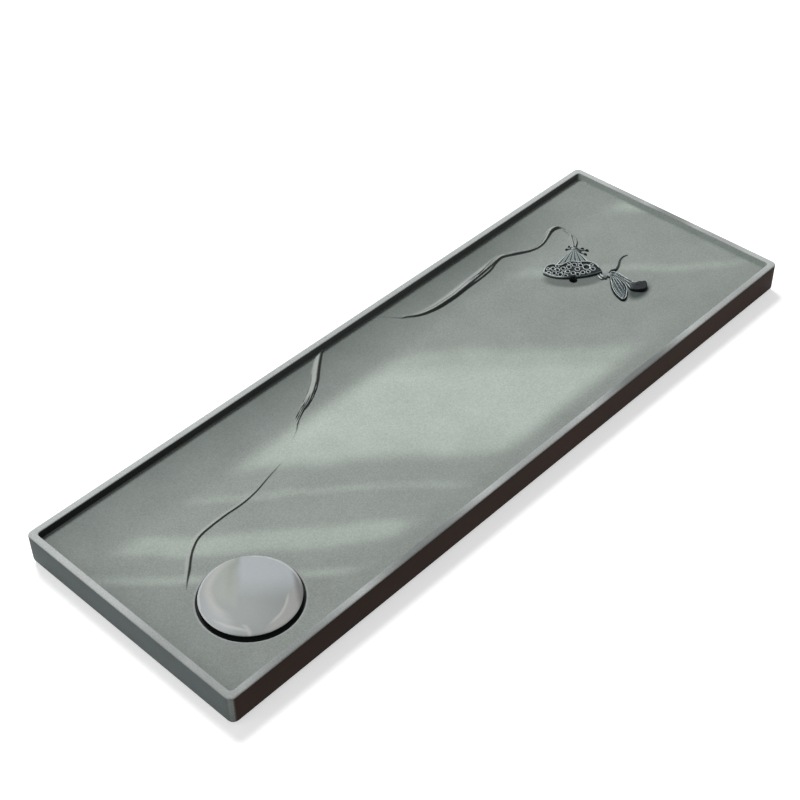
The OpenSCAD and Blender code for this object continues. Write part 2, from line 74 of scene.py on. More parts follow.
def turned(name, outline, x, y, steps=96):
    """A solid turned about the upright axis at x, y from its outline of radius and height."""
    mesh = bpy.data.meshes.new(name)
    mesh.from_pydata([((x + r) * MM, y * MM, z * MM) for r, z in outline],
                     [(i, i + 1) for i in range(len(outline) - 1)], [])
    made = bpy.data.objects.new(name, mesh)
    bpy.context.collection.objects.link(made)
    pick(made)
    bpy.ops.object.mode_set(mode="EDIT")
    bpy.ops.mesh.select_all(action="SELECT")
    bpy.ops.mesh.spin(steps=steps, angle=math.tau, center=(x * MM, y * MM, 0), axis=(0, 0, 1))
    bpy.ops.mesh.select_all(action="SELECT")
    bpy.ops.mesh.remove_doubles(threshold=0.01 * MM)
    bpy.ops.mesh.normals_make_consistent(inside=False)
    bpy.ops.object.mode_set(mode="OBJECT")
    return made


def cut(piece, cutters):
    """Takes the cutters out of the piece, one after another."""
    for cutter in cutters:
        step = piece.modifiers.new("cut", "BOOLEAN")
        step.operation, step.solver, step.object = "DIFFERENCE", "EXACT", cutter
        bpy.context.view_layer.objects.active = piece
        bpy.ops.object.modifier_apply(modifier=step.name)
        bpy.data.objects.remove(cutter)


def joined(pieces):
    """Several separate forms as one object."""
    pick(pieces[0])
    for piece in pieces:
        piece.select_set(True)
    bpy.ops.object.join()
    return pieces[0]


def moved_out(vert, old, new):
    """Where a vertex on one rounded rectangle goes on the next; each is half sizes and radius."""
    core_x, core_y = old[0] - old[2], old[1] - old[2]
    to_x, to_y = new[0] - new[2], new[1] - new[2]
    x, y = abs(vert.co.x) / MM, abs(vert.co.y) / MM
    if x < core_x - 1e-3:
        place = (x, new[1])
    elif y < core_y - 1e-3:
        place = (new[0], y)
    else:
        away = Vector((max(x - core_x, 0), max(y - core_y, 0))).normalized()
        place = (to_x + new[2] * away.x, to_y + new[2] * away.y)
    return math.copysign(place[0], vert.co.x) * MM, math.copysign(place[1], vert.co.y) * MM


inner_l, inner_w = BASIN_L - WALL_FOOT_R, BASIN_W - WALL_FOOT_R
bpy.ops.mesh.primitive_grid_add(
    x_subdivisions=round(2 * inner_l / FLOOR_CELL), y_subdivisions=round(2 * inner_w / FLOOR_CELL),
    size=MM, location=(0, 0, FLOOR_Z * MM))
tray = bpy.context.object
tray.name = "carved_tray"
tray.scale = (2 * inner_l, 2 * inner_w, 1)
bpy.ops.object.transform_apply(location=True, rotation=True, scale=True)
bpy.ops.object.mode_set(mode="EDIT")
shape = bmesh.from_edit_mesh(tray.data)
for vert in shape.verts:
    vert.select = len(vert.link_edges) == 2
shape.select_flush_mode()
bpy.ops.mesh.bevel(offset=(BASIN_CORNER_R - WALL_FOOT_R) * MM, segments=4, affect="VERTICES")
shape = bmesh.from_edit_mesh(tray.data)
for edge in shape.edges:
    edge.select = edge.is_boundary
shape.select_flush_mode()
inner_r = BASIN_CORNER_R - WALL_FOOT_R
last = (inner_l, inner_w, inner_r)
for vert in shape.verts:
    if vert.select:
        vert.co.x, vert.co.y = moved_out(vert, last, last)


def quarter(radius, turns):
    """Steps of a quarter round: how far along and how far up, for each turn in degrees."""
    return [(radius * math.sin(math.radians(turn)), radius * math.cos(math.radians(turn)))
            for turn in turns]


rings = [(inner_l + out, inner_w + out, inner_r + out, FLOOR_Z + WALL_FOOT_R - up)
         for out, up in quarter(WALL_FOOT_R, (25, 50, 70, 90))]
rings += [(BASIN_L + RIM_EDGE_R - out, BASIN_W + RIM_EDGE_R - out, BASIN_CORNER_R + RIM_EDGE_R - out,
           TOP_Z - RIM_EDGE_R + up) for up, out in quarter(RIM_EDGE_R, (0, 22, 45, 68, 90))]
core_l, core_w, core_r = HALF_L - EDGE_R, HALF_W - EDGE_R, CORNER_R - EDGE_R
rings += [(core_l + out, core_w + out, core_r + out, TOP_Z - EDGE_R + up)
          for out, up in quarter(EDGE_R, (0, 22, 45, 68, 90))]
rings += [(core_l + out, core_w + out, core_r + out, SOLE_Z + EDGE_R - down)
          for down, out in quarter(EDGE_R, (0, 30, 60, 90))]
for half_l, half_w, radius, z in rings:
    bpy.ops.mesh.extrude_edges_indiv()
    shape = bmesh.from_edit_mesh(tray.data)
    for vert in shape.verts:
        if vert.select:
            vert.co = Vector((*moved_out(vert, last, (half_l, half_w, radius)), z * MM))
    last = (half_l, half_w, radius)
bpy.ops.mesh.edge_face_add()
bpy.ops.mesh.select_all(action="SELECT")
bpy.ops.mesh.normals_make_consistent(inside=False)
bpy.ops.object.mode_set(mode="OBJECT")

moon_seat = turned("moon_seat", [(0, 21), (30.5, 21), (30.5, 24), (44.8, 24), (45.4, 24.4),
                                 (45.7, 24.9), (46, 25.25), (46.5, 25.45), (47.2, 25.52),
                                 (47.2, 33), (0, 33)], MOON_X, MOON_Y, 128)
drain_hole = turned("drain_hole", [(0, 3), (DRAIN_R, 3), (DRAIN_R, 25), (4.2, 25.35),
                                   (4.7, 25.52), (4.7, 30), (0, 30)], DRAIN_X, DRAIN_Y, 48)
foot_sockets = [turned("foot_socket", [(0, 3), (10.05, 3), (10.05, 6), (0, 6)], x, y, 48)
                for x in (-330, 0, 330) for y in (-95, 95)]
plug_holes = [turned("plug_hole", [(0, 15), (2.55, 15), (2.55, 22), (0, 22)],
                     DRAIN_X + side * 15, DRAIN_Y, 32) for side in (-1, 1)]
pocket = turned("pocket", [(0, 3), (26, 3), (26, POCKET_Z), (0, POCKET_Z)], DRAIN_X, DRAIN_Y)
channel = block("channel", (DRAIN_X, 75, 9.25), (16, 120, 12.5))
cut(tray, [joined([moon_seat, drain_hole] + foot_sockets + plug_holes), pocket, channel])

# The two carved lines, from end to end: along the tray, distance from the basin's back wall,
# height of the crest, width of the soft bank behind it, width of the steep side before it.
STALK = [(46, 4, 0.3, 4, 1.2), (53, 12, 0.5, 5, 1.3), (60, 22.3, 0.9, 7, 1.4), (65, 25.6, 1.4, 8, 1.6),
         (72, 31.2, 1.8, 9, 1.8), (80, 35, 2.1, 10, 2), (90, 37.6, 2.6, 11, 2.4),
         (100, 38.8, 3.1, 12, 2.8), (110, 39.1, 3.3, 12, 3), (120, 39.2, 3.4, 12, 3),
         (130, 38.5, 3.4, 12, 3.2), (140, 37.6, 3.3, 12, 3.4), (150, 36.8, 3.2, 12, 3.8),
         (160, 36, 3.1, 12, 4.2), (170, 34.9, 3, 11, 4.6), (180, 33.6, 2.8, 10, 4.4),
         (190, 31.9, 2.4, 9, 3), (200, 31, 2, 8, 2.1), (205, 32, 1.9, 7, 2.1),
         (210, 34.3, 1.9, 6, 2.3), (215, 37, 2.1, 6, 2.5), (220, 39.8, 2.2, 6, 2.6),
         (225, 42.7, 2, 5, 2.3), (231, 45.7, 1.7, 5, 2), (240, 48, 1.4, 4.5, 1.9),
         (250, 47.5, 1.4, 4.5, 1.9), (260, 44.5, 1.7, 4.5, 2), (270, 40.4, 2.4, 4.5, 2.9),
         (277, 39.6, 2.6, 4.5, 3.1), (282, 41.4, 2.4, 4, 2.8), (284.3, 45.5, 1.6, 3, 2.2),
         (284.5, 50, 0.5, 2.5, 1.5)]
BANK = [(-318, 134, 0.3, 4, 1.4), (-312, 128, 1, 4, 2), (-303, 120, 1.8, 5, 2.4),
        (-294, 111.5, 1.9, 5, 2.2), (-284, 104, 1.7, 5, 1.8), (-272, 98.5, 1.5, 5, 1.4),
        (-256, 96.5, 1.3, 5, 1.2), (-238, 96, 1.2, 5, 1.1), (-220, 96.4, 1.1, 5, 1.1),
        (-202, 94, 0.9, 6, 1.2), (-183, 89, 0.6, 6, 1.3), (-168, 85.2, 0.3, 7, 1.6),
        (-160, 82.6, 0.08, 8, 2), (-146, 75, 0.05, 8, 2), (-131, 67, 0.2, 8, 2),
        (-124, 63, 0.4, 8, 1.8), (-115, 56.5, 1.1, 8, 2), (-101, 49, 1.6, 8, 2.6),
        (-93, 45.8, 1.8, 8, 3), (-85, 42.3, 2, 8, 3.2), (-78.5, 38.6, 2.2, 8, 3.4),
        (-72, 34.7, 2.4, 8, 3.4), (-66, 30.2, 2.6, 8, 3.3), (-59, 24.2, 2.7, 8, 3.2),
        (-52, 18.2, 2.7, 8, 3), (-43.6, 11.2, 2.4, 7, 2.8), (-34, 3.6, 1.8, 6, 2.6),
        (-26, -2, 1, 5, 2)]
# Two fine threads lead from the stalk's bend to the pod's collar: place and height.
THREADS = [[(282.5, 76, 0.8), (281.8, 69, 1.7), (280, 63, 2), (274.5, 56.5, 2.2), (270, 51.5, 2),
            (266.5, 47.8, 2)],
           [(280.5, 66, 1), (281, 59.5, 1.7), (277.5, 53.5, 2.1), (273, 49.2, 2.1), (267.5, 46.2, 2)]]
THREAD_W = 1.9
THREADS_X, THREADS_Y = (262, 287), (42, 82)
FINE_W = 11.0
CARVE_CUTS = 5


def smooth_curve(points, steps):
    """A smooth curve through all the points, with the given number of steps between two."""
    p = np.array(points, float)
    p = np.vstack([p[:1], p, p[-1:]])
    t = (np.arange(steps) / steps)[:, None]
    made = [0.5 * (2 * b + t * (c - a) + t ** 2 * (2 * a - 5 * b + 4 * c - d)
                   + t ** 3 * (3 * b - a - 3 * c + d))
            for a, b, c, d in zip(p[:-3], p[1:-2], p[2:-1], p[3:])]
    return np.vstack(made + [p[-1:]])


class CarvedLine:
    """A crest with a steep side on its right and a soft bank on its left."""

    def __init__(self, points):
        at = smooth_curve([(x, BASIN_W - d, *rest) for x, d, *rest in points], 40)
        self.place, self.height, self.bank, self.steep = at[:, :2], at[:, 2], at[:, 3], at[:, 4]
        step = np.gradient(self.place, axis=0)
        self.heading = step / np.linalg.norm(step, axis=1)[:, None]
        lengths = np.linalg.norm(np.diff(self.place, axis=0), axis=1)
        self.run = np.concatenate([[0], np.cumsum(lengths)])
        self.tree = kdtree.KDTree(len(at))
        for i, (x, y) in enumerate(self.place):
            self.tree.insert((x, y, 0), i)
        self.tree.balance()

    def nearest(self, x, y):
        """Place along the line, distance to its left, and how far past its ends."""
        i = self.tree.find((x, y, 0))[1]
        off_x, off_y = x - self.place[i][0], y - self.place[i][1]
        ahead_x, ahead_y = self.heading[i]
        aside = ahead_x * off_y - ahead_y * off_x
        along = ahead_x * off_x + ahead_y * off_y
        past = max(along, 0) if i == len(self.place) - 1 else max(-along, 0) if i == 0 else 0
        return i, aside, past

    def near(self, x, y, spare):
        i, aside, past = self.nearest(x, y)
        return past < spare and -self.steep[i] - spare < aside < min(self.bank[i], FINE_W) + spare

    def rise(self, x, y):
        i, aside, past = self.nearest(x, y)
        if past > 6 or not -self.steep[i] < aside < self.bank[i]:
            return 0.0
        if aside < 0:
            share = self.drop(i, -aside / self.steep[i])
        else:
            u = aside / self.bank[i]
            share = (1 - u) ** 2 * (1 + 0.6 * u)
        share *= 1 - min(1, past / 6) ** 2
        return max(-0.5, share * self.height[i] + self.grooves(i, aside) * min(1, 4 * share))

    def drop(self, i, u):
        """The steep side from the crest, u = 0, to its foot, u = 1."""
        return 0.5 + 0.5 * math.cos(math.pi * min(1, u) ** 1.2)

    def grooves(self, i, aside):
        """Fine strokes of the chisel that run with the line."""
        return 0.0


class StalkLine(CarvedLine):
    def drop(self, i, u):
        """Near its middle the stalk splits in two strands, one lying lower than the other."""
        apart = math.exp(-((self.place[i][0] - 167) / 20) ** 4)
        upper = 0.5 + 0.5 * math.cos(math.pi * min(1, u / 0.38))
        lower = 0.5 + 0.5 * math.cos(math.pi * min(1, max(0, u - 0.66) / 0.34))
        return (1 - apart) * super().drop(i, u) + apart * (0.5 * upper + 0.5 * lower)

    def grooves(self, i, aside):
        x = self.place[i][0]
        made = -0.6 * math.exp(-((x - 112) / 30) ** 4 - ((aside - 2.3) / 0.6) ** 2)
        for turn in (0, 2.6):
            middle = 1.9 + 1.1 * math.sin(self.run[i] / 14 + turn)
            made -= 0.8 * math.exp(-((x - 172) / 26) ** 4 - ((aside - middle) / 0.6) ** 2)
        if 207 < x < 272:
            made -= 0.7 * math.exp(-((aside - 1.7) / 0.6) ** 2)
        return made


class BankLine(CarvedLine):
    def grooves(self, i, aside):
        x = self.place[i][0]
        if not -122 < x < -34:
            return 0.0
        made = 0.0
        for middle, start, end, depth in ((-2.6, -112, -62, 1.3), (-1, -120, -66, 1.5),
                                          (0.6, -118, -80, 1.5), (2.2, -116, -86, 1.2),
                                          (4.6, -96, -56, 0.5)):
            ends = min(1, max(0, x - start) / 6, max(0, end - x) / 6)
            wander = noise.noise(Vector((self.run[i] / 22, middle * 3.3, 3.1)))
            beat = 0.9 + 0.8 * noise.noise(Vector((self.run[i] / 7, middle * 7.7, 9.4)))
            made -= depth * ends * max(0.2, beat) * math.exp(-((aside - middle - 0.7 * wander) / 0.5) ** 2)
        return made


def by_threads(x, y):
    return THREADS_X[0] < x < THREADS_X[1] and THREADS_Y[0] < y < THREADS_Y[1]


def thread_rise(x, y):
    """Height of the two fine threads over the floor, 0 beside them."""
    best = 0.0
    for at in THREAD_CURVES:
        off = np.hypot(at[:, 0] - x, at[:, 1] - y)
        i = int(off.argmin())
        if off[i] < THREAD_W / 2:
            best = max(best, at[i][2] * math.sqrt(1 - (off[i] / (THREAD_W / 2)) ** 2))
    return best


THREAD_CURVES = [smooth_curve(points, 24) for points in THREADS]
lines = [StalkLine(STALK), BankLine(BANK)]
pick(tray)
bpy.ops.object.mode_set(mode="EDIT")
bpy.ops.mesh.select_mode(type="FACE")
bpy.ops.mesh.select_all(action="DESELECT")
shape = bmesh.from_edit_mesh(tray.data)
for face in shape.faces:
    middle = face.calc_center_median() / MM
    on_floor = FLOOR_Z - 0.01 < middle.z < FLOOR_Z + WALL_FOOT_R and len(face.verts) == 4
    face.select = on_floor and (by_threads(middle.x, middle.y)
                                or any(line.near(middle.x, middle.y, 2) for line in lines))
bpy.ops.mesh.subdivide(number_cuts=CARVE_CUTS)
shape = bmesh.from_edit_mesh(tray.data)
for vert in shape.verts:
    x, y, z = vert.co / MM
    if FLOOR_Z - 0.01 < z < FLOOR_Z + WALL_FOOT_R + 0.01 and abs(x) < BASIN_L + 0.1:
        rise = sum(line.rise(x, y) for line in lines)
        vert.co.z += (max(rise, thread_rise(x, y)) if by_threads(x, y) else rise) * MM
bpy.ops.object.mode_set(mode="OBJECT")
bpy.ops.object.shade_smooth_by_angle(angle=math.radians(35))

# How far the carved floor leans to the front is kept for the painted light and shade of the lines:
# above 0 on the steep sides of the lines, below 0 on the banks behind their crests, and 0 away from the
# floor.
FRONT = (0.1, -0.995)
WALL_CLEAR, MOON_CLEAR, DRAIN_CLEAR = 2.0, 52.0, 8.0
count = len(tray.data.vertices)
co, normals = np.zeros(count * 3), np.zeros(count * 3)
tray.data.vertices.foreach_get("co", co)
tray.data.vertex_normals.foreach_get("vector", normals)
co, normals = co.reshape(-1, 3) / MM, normals.reshape(-1, 3)
to_front = FRONT[0] * normals[:, 0] + FRONT[1] * normals[:, 1]
on_floor = ((np.abs(co[:, 0]) < BASIN_L - WALL_CLEAR) & (np.abs(co[:, 1]) < BASIN_W - WALL_CLEAR)
            & (co[:, 2] > FLOOR_Z - 0.7) & (co[:, 2] < FLOOR_Z + 6)
            & (np.hypot(co[:, 0] - MOON_X, co[:, 1] - MOON_Y) > MOON_CLEAR)
            & (np.hypot(co[:, 0] - DRAIN_X, co[:, 1] - DRAIN_Y) > DRAIN_CLEAR))
carved = tray.data.attributes.new("carved", "FLOAT", "POINT")
carved.data.foreach_set("value", np.where(on_floor, to_front, 0).astype(np.float32))


def shader_node(tree, kind, given=None, **settings):
    """Adds a node. given names its sockets, each with a value or another node's socket."""
    made = tree.nodes.new("ShaderNode" + kind)
    for key, value in settings.items():
        setattr(made, key, value)
    for key, value in (given or {}).items():
        if isinstance(value, bpy.types.NodeSocket):
            tree.links.new(value, made.inputs[key])
        else:
            made.inputs[key].default_value = value
    return made


def calc(tree, operation, *values):
    """The result of one step of arithmetic."""
    return shader_node(tree, "Math", dict(enumerate(values)), operation=operation).outputs[0]


def fade(tree, value, start, full, low=0.0, high=1.0, smooth=False):
    """low where the value is at start or before it, high where it is at full or past it."""
    return shader_node(tree, "MapRange", {"Value": value, "From Min": start, "From Max": full,
                                          "To Min": low, "To Max": high},
                       interpolation_type="SMOOTHSTEP" if smooth else "LINEAR").outputs[0]


def blend(tree, factor, under, over, way="MIX"):
    """One colour laid over another by a factor."""
    under, over = (c if isinstance(c, bpy.types.NodeSocket) else (*c, 1) for c in (under, over))
    return shader_node(tree, "Mix", {"Factor": factor, 6: under, 7: over}, data_type="RGBA",
                       blend_type=way).outputs[2]


def ramp(tree, value, tones, interpolation="LINEAR"):
    """A ramp over the value from 0 to 1; tones are places, each with a grey or a colour."""
    made = shader_node(tree, "ValToRGB", {"Fac": value})
    made.color_ramp.interpolation = interpolation
    stops = made.color_ramp.elements
    for i, (where, tone) in enumerate(tones):
        stop = stops[i] if i < 2 else stops.new(where)
        stop.position = where
        stop.color = (*tone, 1) if isinstance(tone, tuple) else (tone, tone, tone, 1)
    return made.outputs["Color"]


def new_finish(name, **sockets):
    """A material with its shader; sockets are the shader's own plain values."""
    made = bpy.data.materials.new(name)
    made.use_nodes = True
    shader = made.node_tree.nodes["Principled BSDF"]
    for key, value in sockets.items():
        shader.inputs[key.replace("_", " ")].default_value = value
    return made, made.node_tree, shader


def dress(piece, *finishes):
    """Gives the piece its materials in place of those it had."""
    piece.data.materials.clear()
    for finish in finishes:
        piece.data.materials.append(finish)


def grain_group():
    """Fine grain: a colour worked over by cloudy and speckled tone, and a height for bump."""
    group = bpy.data.node_groups.new("stone_grain", "ShaderNodeTree")
    for name, kind, value in (("Colour", "NodeSocketColor", (0.3, 0.3, 0.3, 1)),
                              ("Cloud", "NodeSocketFloat", 0.1), ("Speckle", "NodeSocketFloat", 0.1),
                              ("Grain Scale", "NodeSocketFloat", 1500.0)):
        socket = group.interface.new_socket(name, in_out="INPUT", socket_type=kind)
        socket.default_value = value
    for name, kind in (("Colour", "NodeSocketColor"), ("Height", "NodeSocketFloat")):
        group.interface.new_socket(name, in_out="OUTPUT", socket_type=kind)
    given = group.nodes.new("NodeGroupInput").outputs
    result = group.nodes.new("NodeGroupOutput").inputs
    coords = shader_node(group, "TexCoord").outputs["Object"]
    cloud = shader_node(group, "TexNoise", {"Vector": coords, "Scale": 28.0, "Detail": 5.0})
    speck = shader_node(group, "TexNoise", {"Vector": coords, "Scale": given["Grain Scale"],
                                            "Detail": 3.0, "Roughness": 0.6})
    parts = [calc(group, "MULTIPLY", fade(group, made.outputs["Fac"], 0.3, 0.7, -1.0, 1.0), given[share])
             for made, share in ((cloud, "Cloud"), (speck, "Speckle"))]
    tone = calc(group, "ADD", calc(group, "ADD", *parts), 1.0)
    worked = shader_node(group, "VectorMath", {0: given["Colour"], "Scale": tone}, operation="SCALE")
    group.links.new(worked.outputs["Vector"], result["Colour"])
    group.links.new(speck.outputs["Fac"], result["Height"])
    return group


STONE_GRAIN = grain_group()


def grained(tree, shader, colour, cloud, speckle, scale, bump):
    """Works the grain over a colour and gives it and its bump to the shader."""
    grain = tree.nodes.new("ShaderNodeGroup")
    grain.node_tree = STONE_GRAIN
    for key, value in (("Cloud", cloud), ("Speckle", speckle), ("Grain Scale", scale)):
        grain.inputs[key].default_value = value
    if isinstance(colour, bpy.types.NodeSocket):
        tree.links.new(colour, grain.inputs["Colour"])
    else:
        grain.inputs["Colour"].default_value = colour
    tree.links.new(grain.outputs["Colour"], shader.inputs["Base Color"])
    relief = shader_node(tree, "Bump", {"Height": grain.outputs["Height"], "Strength": bump,
                                        "Distance": 0.0002})
    tree.links.new(relief.outputs["Normal"], shader.inputs["Normal"])
    return grain


# Painted bands of light run aslant over the basin: distance across them and share of the painted light.
LIGHT_BANDS = [(-222, 0), (-214, 0.45), (-204, 0.05), (-192, 0.1), (-181, 0.6), (-172, 0.65),
         (-158, 0.15), (-130, 0.12), (-122, 0.42), (-112, 0.15), (-98, 0.12), (-72, 0.85),
         (-40, 1), (20, 0.95), (45, 0.6), (72, 0.1), (120, 0.04), (165, 0.08), (176, 0.4),
         (188, 0.1), (265, 0.06), (288, 0.55), (310, 0.2)]
LIGHT_BAND_SPAN = 330.0
# How strong the painted shade along the back of the floor is: place along the tray and share of the painted
# shade.
BACK_SHADE_ALONG = [(-375, 0.62), (-300, 0.5), (-180, 0.75), (-80, 0.98), (20, 0.88), (100, 0.95), (190, 1),
                (250, 0.8), (300, 0.35), (350, 0.1)]
# Spots of the rim where the painted sheen is weaker: middle, half sizes and share.
RIM_SHEEN_GAPS = [(-372, -130, 26, 110, 0.34), (-372, -50, 26, 60, 0.3), (372, 0, 30, 40, 0.58),
             (372, -60, 30, 40, 0.26), (372, 55, 30, 35, 0.24), (-300, -127, 90, 14, 0.54),
             (-150, -127, 95, 14, 0.7), (0, -127, 90, 14, 0.32), (150, -127, 90, 14, 0.77),
             (300, -127, 90, 14, 0.22), (60, 127, 260, 14, 0.15)]
# Painted shadows on the floor beside the carvings: middle, half sizes, turn, core and share.
CARVING_SHADOW_SPOTS = [(225.5, 14.5, 36, 17.5, math.radians(-41), 0.7, 0.55), (252, -47, 21, 13, 0.1, 0.4, 0.9),
             (238, -34, 17, 9, math.radians(55), 0.5, 0.45)]
STONE_TONE, LIT_BAND_TONE, SHADE_TONE = (0.252, 0.275, 0.26), (0.425, 0.48, 0.435), (0.115, 0.136, 0.125)
RECESS_SHADE_TONE, BACK_WALL_SHADE_TONE = (0.022, 0.026, 0.025), (0.08, 0.084, 0.082)
PLAIN_UNDER_Z = 19.5
stone, tree, shader = new_finish("honed_stone", Roughness=0.6, Specular_IOR_Level=0.08)
coords = shader_node(tree, "TexCoord").outputs["Object"]
in_mm = shader_node(tree, "VectorMath", {0: coords, "Scale": 1000.0}, operation="SCALE").outputs["Vector"]
at_x, at_y, at_z = shader_node(tree, "SeparateXYZ", {"Vector": in_mm}).outputs


def soft_spot(x, y, half_l, half_w, turn=0.0, core=0.2):
    """1 on a long spot of the slab and 0 off it; turned by an angle."""
    spot = shader_node(tree, "Mapping", {"Vector": in_mm, "Location": (x, y, 0), "Rotation": (0, 0, turn),
                                         "Scale": (half_l, half_w, 1e6)}, vector_type="TEXTURE")
    off = shader_node(tree, "VectorMath", {0: spot.outputs["Vector"]}, operation="LENGTH")
    return fade(tree, off.outputs["Value"], 1.0, core, smooth=True)


def all_of(*masks):
    """Several masks multiplied."""
    whole = masks[0]
    for mask in masks[1:]:
        whole = calc(tree, "MULTIPLY", whole, mask)
    return whole


def any_of(*masks):
    """The largest of several masks."""
    whole = masks[0]
    for mask in masks[1:]:
        whole = calc(tree, "MAXIMUM", whole, mask)
    return whole


def distance_from(x, y, z):
    """Distance from a place."""
    return shader_node(tree, "VectorMath", {0: in_mm, 1: (x, y, z)}, operation="DISTANCE").outputs["Value"]


# Painted light bands on the floor, and painted shade along its back and at its near end.
drift = shader_node(tree, "TexNoise", {"Vector": coords, "Scale": 9.0, "Detail": 2.0}).outputs["Fac"]
across = calc(tree, "ADD", calc(tree, "MULTIPLY", at_x, 0.682), calc(tree, "MULTIPLY", at_y, 0.731))
across = calc(tree, "ADD", across, fade(tree, drift, 0.0, 1.0, -12.0, 12.0))
light_band = ramp(tree, fade(tree, across, -LIGHT_BAND_SPAN, LIGHT_BAND_SPAN),
            [((mm + LIGHT_BAND_SPAN) / (2 * LIGHT_BAND_SPAN), share) for mm, share in LIGHT_BANDS], "EASE")
painted_light = all_of(light_band, fade(tree, at_y, -112, -88, smooth=True), fade(tree, at_y, 76, 48, smooth=True))
length_tone = ramp(tree, fade(tree, at_x, -HALF_L, HALF_L),
                   [((mm + HALF_L) / (2 * HALF_L), share) for mm, share in BACK_SHADE_ALONG])
# Painted shade: darker towards the back wall, and darker at the near end.
back_shade = any_of(all_of(fade(tree, at_y, 60, 118, 0.0, 0.85), length_tone),
              fade(tree, at_x, -325, -370, 0.0, 0.3))
tone = blend(tree, back_shade, blend(tree, painted_light, STONE_TONE, LIT_BAND_TONE), SHADE_TONE)

# Painted shadows of the carvings fall on the floor on their lower side. The carved lines get painted
# light on the slopes behind their crests and painted shade on their steep front sides.
painted_carving_shadow = any_of(*(all_of(soft_spot(*spot), share) for *spot, share in CARVING_SHADOW_SPOTS))
tone = blend(tree, painted_carving_shadow, tone, (0.035, 0.05, 0.045))
front_lean = shader_node(tree, "Attribute", attribute_name="carved").outputs["Fac"]
# Painted light on slopes leaning back, painted shade on steep sides leaning to the front.
tone = blend(tree, fade(tree, front_lean, -0.18, -0.34), tone, (0.36, 0.38, 0.365), "LIGHTEN")
tone = blend(tree, fade(tree, front_lean, 0.05, 0.5, 0.0, 0.92), tone, (0.02, 0.022, 0.021))

# The rim top is painted pale as a sheen of reflected light, with spots of weaker sheen, and the lip of the
# moat round the pot stand gets a painted highlight.
rim_sheen_gap = any_of(*(all_of(soft_spot(*spot), share) for *spot, share in RIM_SHEEN_GAPS))
rim_sheen_tone = blend(tree, rim_sheen_gap, (0.45, 0.475, 0.468), (0.09, 0.1, 0.095))
tone = blend(tree, fade(tree, at_z, TOP_Z - 1.2, TOP_Z - 0.3), tone, rim_sheen_tone)
from_moon = distance_from(MOON_X, MOON_Y, FLOOR_Z)
# Painted highlight on the lip of the moat.
moat_lip_highlight = all_of(fade(tree, from_moon, 45.6, 46.1), fade(tree, from_moon, 47.8, 46.8))
tone = blend(tree, moat_lip_highlight, tone, (0.34, 0.36, 0.355))

# The moat, the drain hole and the back wall get painted shade, nearly black, the back wall less so
# towards the far end. The far wall gets painted light.
below_rim = fade(tree, at_z, TOP_Z - 0.6, TOP_Z - 1.2)
back_wall = fade(tree, at_y, BASIN_W - 0.8, BASIN_W - 0.2)
# Painted shade in the moat, in the drain hole and on the back wall.
recess_shade = any_of(fade(tree, from_moon, 46.0, 45.5),
               fade(tree, distance_from(DRAIN_X, DRAIN_Y, 21), 6.4, 5.8),
               all_of(back_wall, below_rim,
                      calc(tree, "LESS_THAN", calc(tree, "ABSOLUTE", at_x), BASIN_L + 4.5)))
recess_shade_tone = blend(tree, all_of(fade(tree, at_x, -330, 0), back_wall), RECESS_SHADE_TONE, BACK_WALL_SHADE_TONE)
tone = blend(tree, recess_shade, tone, recess_shade_tone)
# Painted light on the far inner wall.
far_wall_light = all_of(fade(tree, at_x, BASIN_L - 0.8, BASIN_L - 0.2), below_rim,
                  calc(tree, "LESS_THAN", at_x, BASIN_L + 3.5))
tone = blend(tree, far_wall_light, tone, (0.5, 0.56, 0.52))

# The sole and the outer ends are plain, the outer long sides keep the slab's dark brown skin.
plain_part = any_of(calc(tree, "LESS_THAN", at_z, PLAIN_UNDER_Z),
                    all_of(calc(tree, "GREATER_THAN", at_x, HALF_L - 0.8), below_rim))
tone = blend(tree, plain_part, tone, (0.2, 0.22, 0.21))
tone = blend(tree, all_of(fade(tree, at_x, 0.8 - HALF_L, 0.2 - HALF_L), below_rim), tone,
             (0.125, 0.15, 0.148))
skin_part = all_of(fade(tree, calc(tree, "ABSOLUTE", at_y), HALF_W - 0.8, HALF_W - 0.2),
                   fade(tree, at_z, TOP_Z - 0.6, TOP_Z - 1.4))
skin_cloud = shader_node(tree, "TexNoise", {"Vector": coords, "Scale": 5.0, "Detail": 6.0})
skin_tone = blend(tree, skin_cloud.outputs["Fac"], (0.008, 0.003, 0.002), (0.042, 0.021, 0.013))
stone_tone = blend(tree, skin_part, tone, skin_tone)
grained(tree, shader, stone_tone, 0.05, 0.15, 800.0, 0.3)
dress(tray, stone)
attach(tray, "tray")
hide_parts("stone_tray")

# Rubber feet. Six moulded feet of black rubber sit in shallow sockets in the slab's sole and
# stand 4 mm proud, so that the tray doesn't scrape the table.
rubber, tree, shader = new_finish("foot_rubber", Roughness=0.72)
grained(tree, shader, (0.022, 0.022, 0.023, 1), 0.15, 0.25, 900.0, 0.3)
for number in range(1, 7):
    dress(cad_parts[f"foot_{number}"], rubber)

